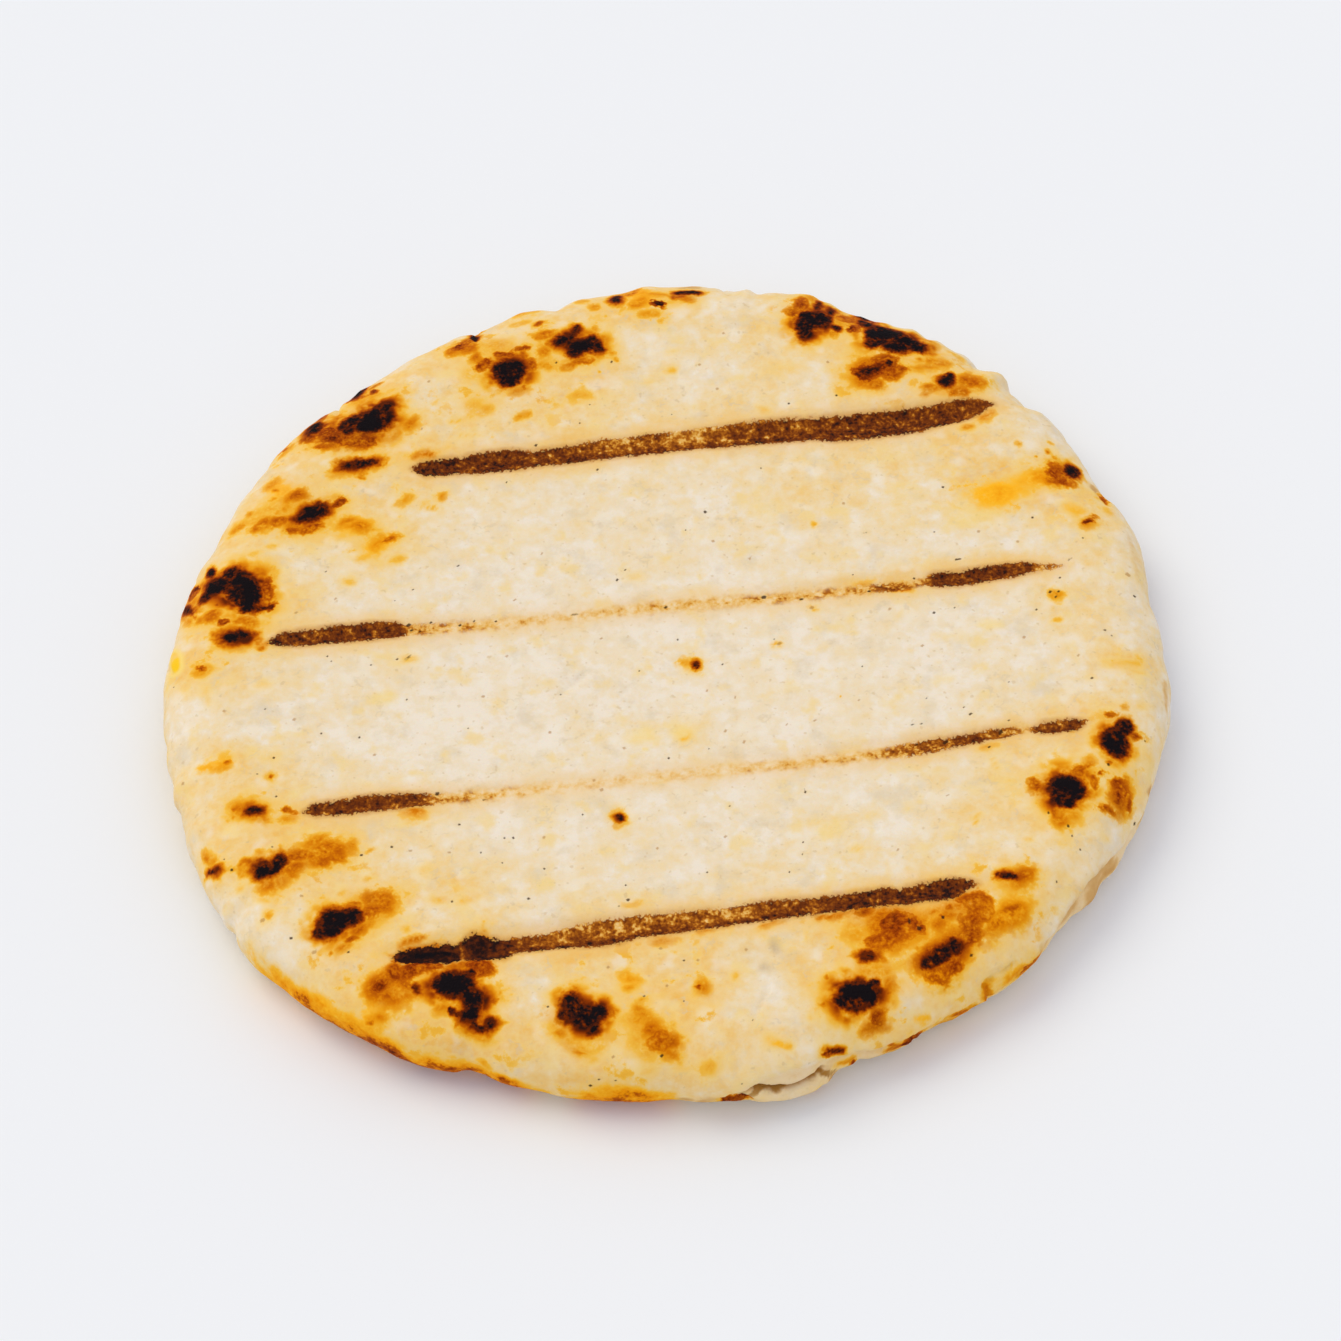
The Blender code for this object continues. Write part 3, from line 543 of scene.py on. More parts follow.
    (1, -12.1, 0.6, 1.3, -10, 0.34), (0.3, -12.9, 1.2, 0.6, 15, 0.34),
    (-4.4, -12.3, 4.0, 2.5, 0, 0.10), (0.5, -11.7, 3.0, 2.4, 0, 0.12),
    (13.6, -0.7, 1.1, 0.8, 0, 0.36), (-2.2, 12.1, 1.6, 1.0, 0, 0.20),
    (13.5, -27.2, 1.4, 1.0, 0, 0.20), (21, -27.2, 1.2, 0.9, 0, 0.18),
    (15.5, -28.7, 3.0, 2.4, 0, 0.11), (-14, 20.8, 4.0, 2.5, 0, 0.08),
    (15, 19.8, 4.0, 3.0, 0, 0.08), (20.1, 17, 1.0, 0.9, 0, 0.38),
    (18.3, 4.2, 0.9, 0.8, 0, 0.38),
    # smaller toasting between and beside the blisters
    (-45.3, 26.6, 3.6, 2.0, 30, 0.56), (-40.8, 30.2, 3.2, 2.2, 20, 0.54),
    (-41.3, 39.2, 3.4, 1.8, 40, 0.40), (-35.3, 25.1, 3.0, 1.8, 20, 0.46),
    (-39.8, 24.6, 3.0, 1.6, 20, 0.62), (-25.8, 39.5, 3.0, 2.2, 40, 0.50),
    (-31.8, 21.3, 3.8, 2.4, 20, 0.44), (-27.5, 27.6, 2.6, 1.8, 40, 0.40),
    (-24.7, 33.9, 3.2, 1.6, 10, 0.48), (-17.4, 51.0, 2.8, 2.2, 0, 0.58),
    (-15.9, 47.5, 1.8, 2.2, 0, 0.58), (-16.5, 40.1, 3.0, 2.2, 0, 0.34),
    (-10.5, 54.6, 2.8, 1.8, 0, 0.34), (-8.9, 57.6, 3.0, 1.6, 0, 0.34),
    (-3.7, 46.4, 3.2, 1.8, 0, 0.60), (-7.3, 51.6, 2.6, 2.0, 0, 0.54),
    (-8.1, 46.4, 2.4, 1.6, 0, 0.44), (-4.7, 40.7, 3.0, 1.8, 0, 0.34),
    (3.9, 58.8, 2.6, 1.2, 0, 0.50), (4.6, 55.3, 3.0, 2.0, 0, 0.48),
    (9.9, 56.1, 2.6, 1.4, 0, 0.58), (-2.1, 57.7, 2.8, 1.4, 0, 0.34),
    (24.1, 52.4, 2.6, 2.2, 0, 0.62), (29.9, 50.0, 2.6, 2.2, -20, 0.60),
    (27.4, 46.5, 2.0, 1.6, 0, 0.52), (34.1, 39.2, 3.8, 2.2, 15, 0.62),
    (41.5, 35.1, 3.4, 1.8, -10, 0.56), (44.1, 31.1, 2.8, 1.8, 20, 0.42),
    (41.3, 29.5, 2.4, 1.6, 0, 0.40), (51.2, 21.4, 3.0, 2.6, 20, 0.64),
    (47.7, 2.3, 2.2, 1.8, 0, 0.42), (53.3, 12.7, 2.4, 2.2, 0, 0.44),
    (56.4, 15.2, 2.0, 2.6, 0, 0.30), (25.1, 7.4, 2.6, 1.0, 0, 0.40),
    (-48.7, 11.6, 3.2, 1.8, -10, 0.56), (-52.5, 12.9, 2.6, 1.8, 0, 0.50),
    (-55.1, 18.9, 2.0, 1.6, 0, 0.62), (-55.8, 14.7, 2.4, 1.8, -40, 0.44),
    (-54.8, 5.2, 2.6, 1.8, 0, 0.42), (-30.1, 3.5, 2.8, 1.8, 0, 0.26),
    (-53.7, -9.3, 2.6, 1.6, -20, 0.40), (-46.8, -18.1, 2.8, 1.8, 0, 0.40),
    (-44.1, -21.7, 3.6, 1.8, 15, 0.50), (-42.7, -24.8, 3.8, 2.0, 15, 0.54),
    (-46.9, -25.3, 3.4, 2.2, 25, 0.58), (-56.6, -21.0, 2.6, 1.6, -30, 0.48),
    (-32.3, -19.5, 2.8, 1.6, -20, 0.44), (-38.8, -32.8, 3.2, 2.2, 30, 0.62),
    (-34.7, -37.7, 3.0, 1.2, 5, 0.50), (-42.1, -37.3, 2.8, 1.6, 20, 0.44),
    (-34.7, -41.5, 3.6, 2.4, 20, 0.68), (-36.7, -45.1, 3.4, 2.4, 20, 0.52),
    (-27.4, -42.1, 3.0, 1.8, 0, 0.72), (-40.1, -46.4, 3.4, 1.8, -30, 0.46),
    (-10.7, -46.1, 3.2, 2.0, -30, 0.40), (-9.9, -50.9, 3.0, 2.2, -40, 0.44),
    (-7.3, -55.1, 3.2, 2.4, 30, 0.56), (-6.1, -41.4, 3.8, 1.6, 0, 0.46),
    (-1.5, -40.9, 3.0, 1.2, 0, 0.46), (-2.7, -48.8, 2.0, 2.8, 20, 0.40),
    (6.3, -40.7, 3.0, 1.2, 0, 0.46), (13.5, -40.7, 3.6, 1.6, 0, 0.52),
    (17.1, -40.6, 3.4, 2.0, 0, 0.56), (18.4, -45.0, 4.0, 2.6, 0, 0.62),
    (25.5, -43.7, 2.6, 2.6, 0, 0.50), (24.3, -50.0, 3.0, 2.4, 0, 0.62),
    (29.3, -40.5, 3.0, 1.8, 0, 0.60), (30.7, -42.6, 3.0, 2.4, 0, 0.64),
    (36.2, -38.3, 4.0, 2.8, 45, 0.54), (42.3, -30.8, 3.4, 2.6, 50, 0.52),
    (45.3, -24.5, 2.4, 2.4, 0, 0.62), (50.5, -26.8, 2.2, 2.6, 0, 0.64),
    (35.5, -19.1, 3.0, 1.0, 0, 0.38), (15.7, -56.1, 2.6, 1.8, 20, 0.50),
    (29.1, -55.3, 3.4, 1.8, 20, 0.52), (38.1, -49.5, 4.4, 1.8, 45, 0.54),
    # (20.6, -58.9) is painted shade on the wall below the front-right edge
    (20.6, -58.9, 4.0, 1.6, 15, 0.56), (13.9, -60.9, 2.6, 1.0, 20, 0.46),
    (-45.8, 16.3, 2.2, 3.4, 0, 0.70), (-32.2, 46.4, 3.0, 1.6, 10, 0.68),
    (-29.5, 47.7, 2.6, 1.4, 20, 0.54), (21.9, -58.5, 3.6, 1.4, 15, 0.74),
    (-36.7, 44.2, 2.4, 1.8, 40, 0.66), (30.5, 47.5, 2.2, 2.0, 0, 0.70),
    (52.3, 19.5, 2.6, 2.0, 0, 0.60), (39.7, 40.2, 3.6, 1.8, -15, 0.50),
    (-43.1, 26.5, 3.0, 2.0, 20, 0.60), (-36.1, 40.4, 2.4, 2.0, 0, 0.78),
    (-42.0, 40.7, 2.8, 1.4, 45, 0.52), (-19.3, 50.7, 2.2, 2.4, 0, 0.56),
    (-48.6, 27.3, 3.0, 1.8, 30, 0.42), (-36.1, 37.5, 3.2, 1.6, -20, 0.58),
    (23.1, 51.1, 2.0, 1.8, 0, 0.66), (42.3, 42.0, 3.2, 1.8, -40, 0.32),
    (-43.5, 33.3, 3.2, 2.0, 40, 0.42), (-9.9, 46.6, 1.8, 2.4, 0, 0.62),
    (-40.1, -34.9, 2.6, 2.2, 20, 0.56), (-32.7, -41.3, 2.8, 1.8, 0, 0.72),
    (-40.1, 29.9, 2.4, 2.2, 0, 0.56), (7.1, 57.0, 3.0, 1.6, 0, 0.44),
    (50.4, -26.7, 2.4, 2.8, 0, 0.70), (29.1, -55.3, 3.2, 1.8, 20, 0.62),
    (38.2, -49.4, 4.0, 1.8, 45, 0.60), (-33.3, 24.1, 3.2, 2.2, 20, 0.48),
    (3.5, 57.9, 2.2, 1.6, 0, 0.54), (40.1, -25.7, 1.8, 2.4, 0, 0.62),
    (-55.5, 19.1, 1.8, 2.0, 0, 0.70), (-9.3, 57.5, 3.2, 1.8, 0, 0.38),
    (-57.4, -20.5, 2.4, 1.6, -30, 0.50), (-39.5, 24.7, 2.8, 1.6, 20, 0.62),
    (-11.9, 42.9, 3.0, 2.0, 0, 0.48), (-5.1, 45.8, 2.4, 1.8, 0, 0.50),
    (-8.1, 48.7, 2.2, 2.2, 0, 0.50), (-37.1, -41.7, 2.4, 2.4, 0, 0.68),
    (5.5, 53.1, 3.0, 2.0, 0, 0.42), (16.9, -54.3, 2.4, 2.0, 0, 0.62),
    (-27.7, -43.3, 1.8, 1.8, 0, 0.72), (38.1, 36.3, 2.6, 1.8, 0, 0.54),
    (43.9, -30.5, 2.6, 2.2, 0, 0.44), (31.3, 37.9, 2.6, 1.8, 0, 0.58),
    (-15.9, 47.1, 1.8, 2.0, 0, 0.66), (10.9, 55.5, 2.4, 1.8, 0, 0.48),
    (26.1, -49.1, 2.4, 2.2, 0, 0.66), (-50.1, -27.1, 2.6, 2.0, 20, 0.50),
)

# little burnt crumbs: (u, v, length, width, turn)
CRUMBS = (
    (7.9, 21.1, 0.8, 0.6, 20), (-4.1, 11.9, 0.8, 0.55, 35),
    (6.8, -2.4, 0.5, 0.5, 0), (-1.8, -15.1, 0.5, 0.5, 0),
    (-3.5, -2.0, 0.4, 0.4, 0), (-13.0, -4.2, 0.4, 0.4, 0),
    (3.3, -14.8, 0.45, 0.4, 0), (-20.5, -33.3, 0.6, 0.6, 0),
    (-48.1, -34.4, 0.6, 0.6, 0), (-8.4, -56.6, 0.6, 0.6, 0),
    (40.2, -38.8, 0.55, 0.5, 0), (-29.3, -32.6, 0.6, 0.5, 0),
    (-37.4, -7.5, 0.5, 0.5, 0), (24.1, 8.6, 0.4, 0.4, 0),
    (36.5, 9.2, 0.45, 0.45, 0), (37.4, 9.2, 0.45, 0.4, 0),
    (48.5, 4.9, 0.5, 0.5, 0), (44.9, 0.2, 0.5, 0.5, 0),
    (-3.5, 39.3, 0.45, 0.4, 0), (-0.1, 46.1, 0.5, 0.5, 0),
    (-7.0, 46.6, 0.6, 0.5, 0), (20.4, 36.3, 0.6, 0.5, 0),
    (26.4, 36.5, 0.5, 0.5, 0), (-11.1, 33.9, 0.7, 0.6, 20),
    (-4.1, 29.2, 0.55, 0.5, 0), (-15.1, 28.8, 0.45, 0.4, 0),
    (15.3, 26.4, 0.4, 0.4, 0), (-5.2, 36.5, 0.4, 0.4, 0),
    (6.1, 36.3, 0.4, 0.35, 0), (-29.3, 8.6, 0.9, 0.7, 0),
    (-29.2, 7.7, 0.7, 0.6, 0), (-28.1, 7.5, 0.6, 0.5, 0),
    (-26.9, 8.7, 0.6, 0.5, 0), (-23.5, 7.7, 0.7, 0.6, 0),
    (-21.7, 8.3, 0.6, 0.5, 0), (-19.1, 7.6, 0.6, 0.5, 0),
    (17.2, 6.0, 0.9, 0.6, 0), (25.7, 5.9, 0.8, 0.6, 0),
    (31.3, 7.1, 0.6, 0.5, 0), (-9.8, 7.6, 1.6, 0.5, -3),
    (1.1, 7.3, 0.9, 0.6, 20), (50.1, 7.5, 1.0, 0.5, 40),
    (13.0, 6.9, 0.9, 0.8, 20), (-29.2, -16.9, 0.8, 0.7, 0),
    (27.2, -17.5, 0.7, 0.6, 0), (30.7, -17.7, 0.9, 0.9, 0),
    (37.4, -17.1, 0.9, 1.1, 0), (38.7, -15.9, 0.9, 0.4, -20),
    (35.4, -19.1, 0.5, 0.8, -15), (36.8, 20.3, 0.5, 0.5, 0),
    (46.5, 14.4, 0.55, 0.5, 0), (34.7, 13.7, 0.4, 0.4, 0),
    (26.4, 14.7, 0.4, 0.4, 0), (52.1, 10.5, 0.4, 0.4, 0),
    (22.9, -5.4, 0.4, 0.4, 0), (29.3, -11.0, 0.45, 0.4, 0),
    (33.7, -13.0, 0.5, 0.4, 0), (39.6, -10.1, 0.4, 0.4, 0),
    (32.4, 1.7, 0.7, 0.6, 0), (35.2, 1.9, 0.5, 0.4, 0),
    (52.4, -3.7, 0.6, 0.5, 0), (52.9, -4.6, 0.45, 0.4, 0),
    (57.2, 1.9, 0.7, 0.6, 0), (49.3, -10.7, 0.7, 0.5, 0),
    (34.2, -14.3, 0.8, 0.6, 20), (27.3, -14.9, 0.9, 0.4, 10),
    (28.3, -14.6, 0.5, 0.4, 0), (54.5, -19.8, 0.5, 0.45, 0),
    (46.9, 2.9, 0.8, 0.6, 30), (48.0, 2.6, 0.7, 0.5, 0),
    (47.5, 1.9, 0.6, 0.5, 0), (-12.8, -22.1, 0.45, 0.4, 0),
    (4.4, -23.4, 0.5, 0.4, 0), (12.1, -29.9, 0.5, 0.4, 0),
    (11.8, -31.5, 0.45, 0.4, 0), (9.7, -33.9, 0.4, 0.4, 0),
    (0.4, -32.3, 0.45, 0.45, 0), (-9.4, -35.3, 0.7, 0.6, 0),
    (-10.3, -35.8, 0.45, 0.4, 0), (-9.4, -33.2, 0.4, 0.4, 0),
    (-18.0, -29.4, 0.5, 0.45, 0), (2.6, -53.5, 0.4, 0.35, 0),
    (-5.0, -50.2, 0.45, 0.4, 0), (-20.2, -48.6, 0.5, 0.5, 0),
    (-3.9, -44.3, 0.6, 0.45, 0), (0.3, -61.0, 0.45, 0.4, 0),
    (23.2, -43.9, 0.7, 0.9, 20), (28.9, -47.6, 0.7, 0.6, 0),
    (26.1, -42.8, 0.6, 0.8, 0), (49.1, -23.3, 0.6, 0.6, 0),
    (42.8, -31.5, 0.5, 0.9, 5), (43.2, -33.0, 0.5, 0.45, 0),
    (40.8, -29.9, 0.5, 0.6, 0), (52.5, -30.6, 0.9, 0.6, 40),
    (43.7, -34.7, 0.5, 0.45, 0), (19.6, -22.6, 1.1, 0.4, 35),
    (-38.8, -24.3, 0.6, 0.5, 0), (-35.2, -23.8, 0.75, 0.5, -20),
    (-54.1, -23.5, 0.55, 0.55, 0), (-49.1, -21.9, 0.5, 0.45, 0),
    (-54.8, -21.7, 0.4, 0.4, 0), (-47.4, -9.0, 0.5, 0.5, 0),
    (-47.5, -14.8, 0.6, 0.45, 0), (-49.8, -10.9, 0.5, 0.35, 0),
    (-58.6, 4.9, 0.5, 0.4, 0), (-22.3, -24.1, 0.5, 0.45, 0),
    (-21.2, -24.6, 0.55, 0.5, 0), (-25.0, -26.0, 0.45, 0.4, 0),
    (-23.0, -27.7, 0.4, 0.4, 0), (-27.0, -21.4, 0.6, 0.5, 0),
    (-42.0, -37.9, 0.55, 0.5, 0), (-23.8, -18.4, 1.1, 0.4, 5),
    (-41.6, -6.2, 0.5, 0.45, 0), (-24.3, -7.5, 0.45, 0.4, 0),
    (-31.1, -2.6, 0.4, 0.4, 0), (-47.9, -1.6, 0.5, 0.4, 0),
    (-30.2, 3.6, 1.7, 0.5, 35), (-31.6, 3.7, 0.6, 0.5, 0),
    (-39.6, 5.4, 0.5, 0.45, 0), (-39.3, 4.4, 0.5, 0.4, 0),
    (-34.8, 3.3, 0.45, 0.4, 0), (-22.8, 16.8, 0.7, 0.5, 20),
    (-30.6, 12.4, 0.4, 0.4, 0), (-28.4, 13.6, 0.4, 0.4, 0),
    (-38.2, 18.0, 0.4, 0.4, 0), (-2.7, 13.4, 0.45, 0.4, 0),
    (5.0, 18.3, 0.35, 0.35, 0), (1.6, 1.9, 0.45, 0.45, 0),
    (13.3, 0.3, 0.4, 0.35, 0), (-17.3, -58.8, 0.7, 0.6, 0),
    (-14.0, -58.6, 0.6, 0.4, 0), (-15.8, -58.2, 0.7, 0.4, 20),
    (-9.4, -48.6, 0.9, 0.4, 20), (13.3, -22.4, 0.6, 1.1, 30),
    (17.3, 5.9, 0.5, 0.4, 0), (22.2, -42.6, 0.6, 1.0, 10),
)

# paler brown crumbs: (u, v, length, width, turn)
FLECKS = (
    (7.5, -14.4, 0.7, 0.6, 0), (5.6, -12.5, 0.6, 0.6, 0),
    (12.6, -12.1, 0.5, 0.5, 0), (16.3, -12.4, 0.7, 0.5, 0),
    (21.8, -10.3, 0.5, 0.5, 0), (7.5, -7.6, 0.5, 0.5, 0),
    (4.2, -6.4, 0.5, 0.45, 0), (-6.6, -13.3, 0.7, 0.5, 0),
    (-10.9, -17.2, 0.6, 0.5, 0), (-10.4, -19.0, 0.6, 0.6, 0),
    (18.3, 4.4, 0.7, 0.6, 0), (13.7, -0.4, 0.9, 0.6, 15),
    (8.0, 16.2, 0.6, 0.5, 0), (12.0, 13.0, 0.5, 0.5, 0),
    (-12.5, 17.0, 0.6, 0.5, 0), (-16.4, 10.6, 0.5, 0.5, 0),
    (-7.1, 3.4, 0.6, 0.5, 0), (-18.5, 2.2, 0.6, 0.5, 0),
    (-22.0, -3.3, 0.6, 0.5, 0), (-15.2, -9.6, 0.5, 0.5, 0),
    (42.6, -3.7, 0.6, 0.5, 0), (48.4, -7.4, 0.5, 0.5, 0),
    (56.8, 5.1, 0.9, 0.7, 0), (30.5, -3.1, 0.5, 0.5, 0),
    (27.6, 2.6, 0.6, 0.5, 0), (40.1, 13.2, 0.6, 0.5, 0),
    (44.3, 10.7, 0.5, 0.5, 0), (24.7, 19.8, 0.5, 0.5, 0),
    (-42.6, 12.2, 0.6, 0.5, 0), (-37.9, 13.6, 0.5, 0.5, 0),
    (-44.6, -3.6, 0.6, 0.5, 0), (-35.6, -10.1, 0.6, 0.5, 0),
    (-52.4, -1.3, 0.6, 0.5, 0), (-58.6, -9.6, 0.7, 0.5, 0),
    (-51.3, -31.2, 0.8, 0.7, 0), (-45.8, -37.1, 0.8, 0.6, 20),
    (-46.4, -29.4, 0.6, 0.5, 0), (-33.2, -24.8, 0.6, 0.5, 0),
    (-28.6, -25.6, 0.5, 0.5, 0), (-17.6, -25.2, 0.6, 0.5, 0),
    (-4.9, -28.4, 0.5, 0.5, 0), (3.1, -27.7, 0.6, 0.5, 0),
    (22.6, -32.6, 0.6, 0.5, 0), (29.7, -25.4, 0.5, 0.5, 0),
    (-6.5, -42.6, 0.6, 0.5, 0), (-12.9, -44.3, 0.5, 0.5, 0),
    (3.2, -43.9, 0.5, 0.5, 0), (-2.6, -44.8, 0.6, 0.5, 0),
    (-6.5, -47.8, 0.5, 0.5, 0), (-13.8, -56.0, 0.5, 0.5, 0),
    (10.6, 44.2, 0.5, 0.5, 0), (14.2, 48.8, 0.5, 0.5, 0),
    (-22.6, 46.0, 0.6, 0.5, 0), (-24.4, 38.6, 0.5, 0.5, 0),
    (26.2, 42.0, 0.5, 0.5, 0), (12.1, 39.5, 0.5, 0.5, 0),
)

# bits of yellow corn in the dough: (u, v, length, width, turn, strength)
CORNS = (
    (-58.2, 8.6, 2.2, 4.4, 15, 1.9), (-59.3, 6.5, 2.0, 3.0, 0, 0.5),
    (-54.6, -36.2, 2.6, 2.3, 0, 0.85), (-52.2, -38.1, 2.0, 1.1, 0, 0.9),
    (-34.0, -2.0, 4.0, 2.2, 10, 0.55), (39.0, -1.2, 3.5, 2.0, 0, 0.6),
    (31.8, -8.8, 3.0, 1.8, 0, 0.4), (36.0, -3.0, 4.0, 2.0, 0, 0.25),
    (42.5, -9.0, 3.0, 2.0, 0, 0.25), (-4.5, -12.0, 3.6, 2.4, 0, 0.55),
    (0.2, -11.6, 3.4, 2.6, 0, 0.60), (-4.4, -13.9, 0.9, 0.6, 0, 0.8),
    (-14.0, 21.0, 4.0, 2.5, 0, 0.35), (15.0, 20.0, 5.0, 3.0, 0, 0.35),
    (8.0, 17.0, 4.0, 2.0, 10, 0.30), (14.0, -7.3, 4.0, 2.2, 0, 0.35),
    (6.5, -9.0, 3.0, 1.6, 0, 0.30), (-10.5, -21.0, 4.0, 2.0, 0, 0.20),
    (-42.0, 22.0, 6.0, 4.0, 0, 0.20), (-19.0, 3.2, 3.0, 1.4, 0, 0.25),
    (-35.0, -30.0, 5.0, 2.5, 0, 0.20), (-18.5, -32.0, 4.0, 2.0, 0, 0.25),
    (15.5, -28.5, 4.0, 3.0, 0, 0.35),
    (24.0, -27.0, 4.0, 2.0, 0, 0.25), (28.5, -22.0, 3.0, 2.0, 0, 0.20),
    (40.5, 16.0, 9.0, 5.0, 15, 0.45), (32.0, 20.0, 7.0, 4.0, 0, 0.25),
    (-54.0, -19.0, 4.0, 3.0, 0, 0.20), (55.0, 5.0, 6.0, 4.0, 0, 0.15),
    (-22.0, 25.5, 5.0, 2.4, 10, 0.25),
    (22.0, 27.0, 6.0, 3.0, 0, 0.22), (-27.0, 15.0, 4.0, 2.5, 0, 0.18),
    (5.0, 27.0, 4.0, 2.0, 0, 0.15), (47.0, -5.0, 4.0, 2.0, 0, 0.15),
)

# grey, translucent or stained places: (u, v, length, width, turn, strength)
STAINS = (
    (6.5, -44.0, 1.6, 2.6, 0, 0.75), (5.0, -46.4, 1.6, 1.6, 30, 0.55),
    (4.0, -44.5, 5.0, 5.0, 0, 0.22), (-1.8, 8.6, 2.4, 1.6, 0, 0.30),
    (-11.2, -2.5, 4.4, 0.9, 40, 0.22), (-2.2, 12.4, 1.8, 1.2, 0, 0.30),
    (4.0, -51.0, 0.7, 3.4, -30, 0.22), (-5.5, 6.0, 5.0, 1.6, 0, 0.18),
    (-24.0, 12.0, 7.0, 4.0, 20, 0.18), (12.0, 30.0, 9.0, 4.0, 0, 0.15),
    (-8.0, 26.0, 8.0, 4.0, 0, 0.15),
)

# torn, tan places on the rim, and painted shade on the rim walls that face away from the light and under the torn
# front edge: (u, v, length, width, turn, strength)
TEARS_AND_RIM_SHADE = (
    (47.5, -38.5, 6.0, 3.4, 50, 0.42), (49.2, -36.0, 2.4, 1.8, 40, 0.40),
    (43.0, -42.6, 5.5, 3.0, 45, 0.40), (39.2, -47.0, 4.0, 2.4, 45, 0.36),
    (13.0, -60.2, 8.0, 3.0, 10, 0.22), (20.0, -58.4, 8.0, 2.2, 15, 0.36),
    (27.0, -56.0, 8.0, 2.0, 22, 0.34), (35.0, -50.5, 5.0, 2.4, 42, 0.36),
    (8.0, -60.6, 5.0, 1.2, 10, 0.20), (-20.5, -61.0, 2.6, 1.4, -8, 0.8),
    (-8.0, -63.6, 4.4, 1.4, 0, 0.9), (-3.5, -64.0, 3.6, 2.4, 0, 0.5),
    (56.0, -28.0, 1.8, 0.9, 20, 1.0), (55.8, -25.6, 2.4, 1.0, 20, 0.7),
    (56.4, 19.4, 1.4, 3.0, 10, 0.7), (59.4, -12.5, 1.4, 4.6, 0, 0.35),
    (58.6, 8.0, 1.4, 8.0, 0, 0.20), (34.4, 50.6, 3.4, 1.8, -30, 0.45),
    (29.5, 52.6, 3.0, 1.6, -30, 0.35), (12.3, -62.8, 1.6, 1.2, 0, 0.8),
    (11.4, 58.6, 3.4, 2.2, 0, 0.5), (-33.6, 48.0, 2.0, 2.0, 0, 0.4),
    (48.2, -39.8, 6.0, 2.0, 50, 0.50), (50.4, -36.8, 3.6, 2.0, 60, 0.48),
    (55.8, -28.4, 5.0, 1.8, 65, 0.36), (20.5, -60.4, 6.0, 1.6, 15, 0.46),
)

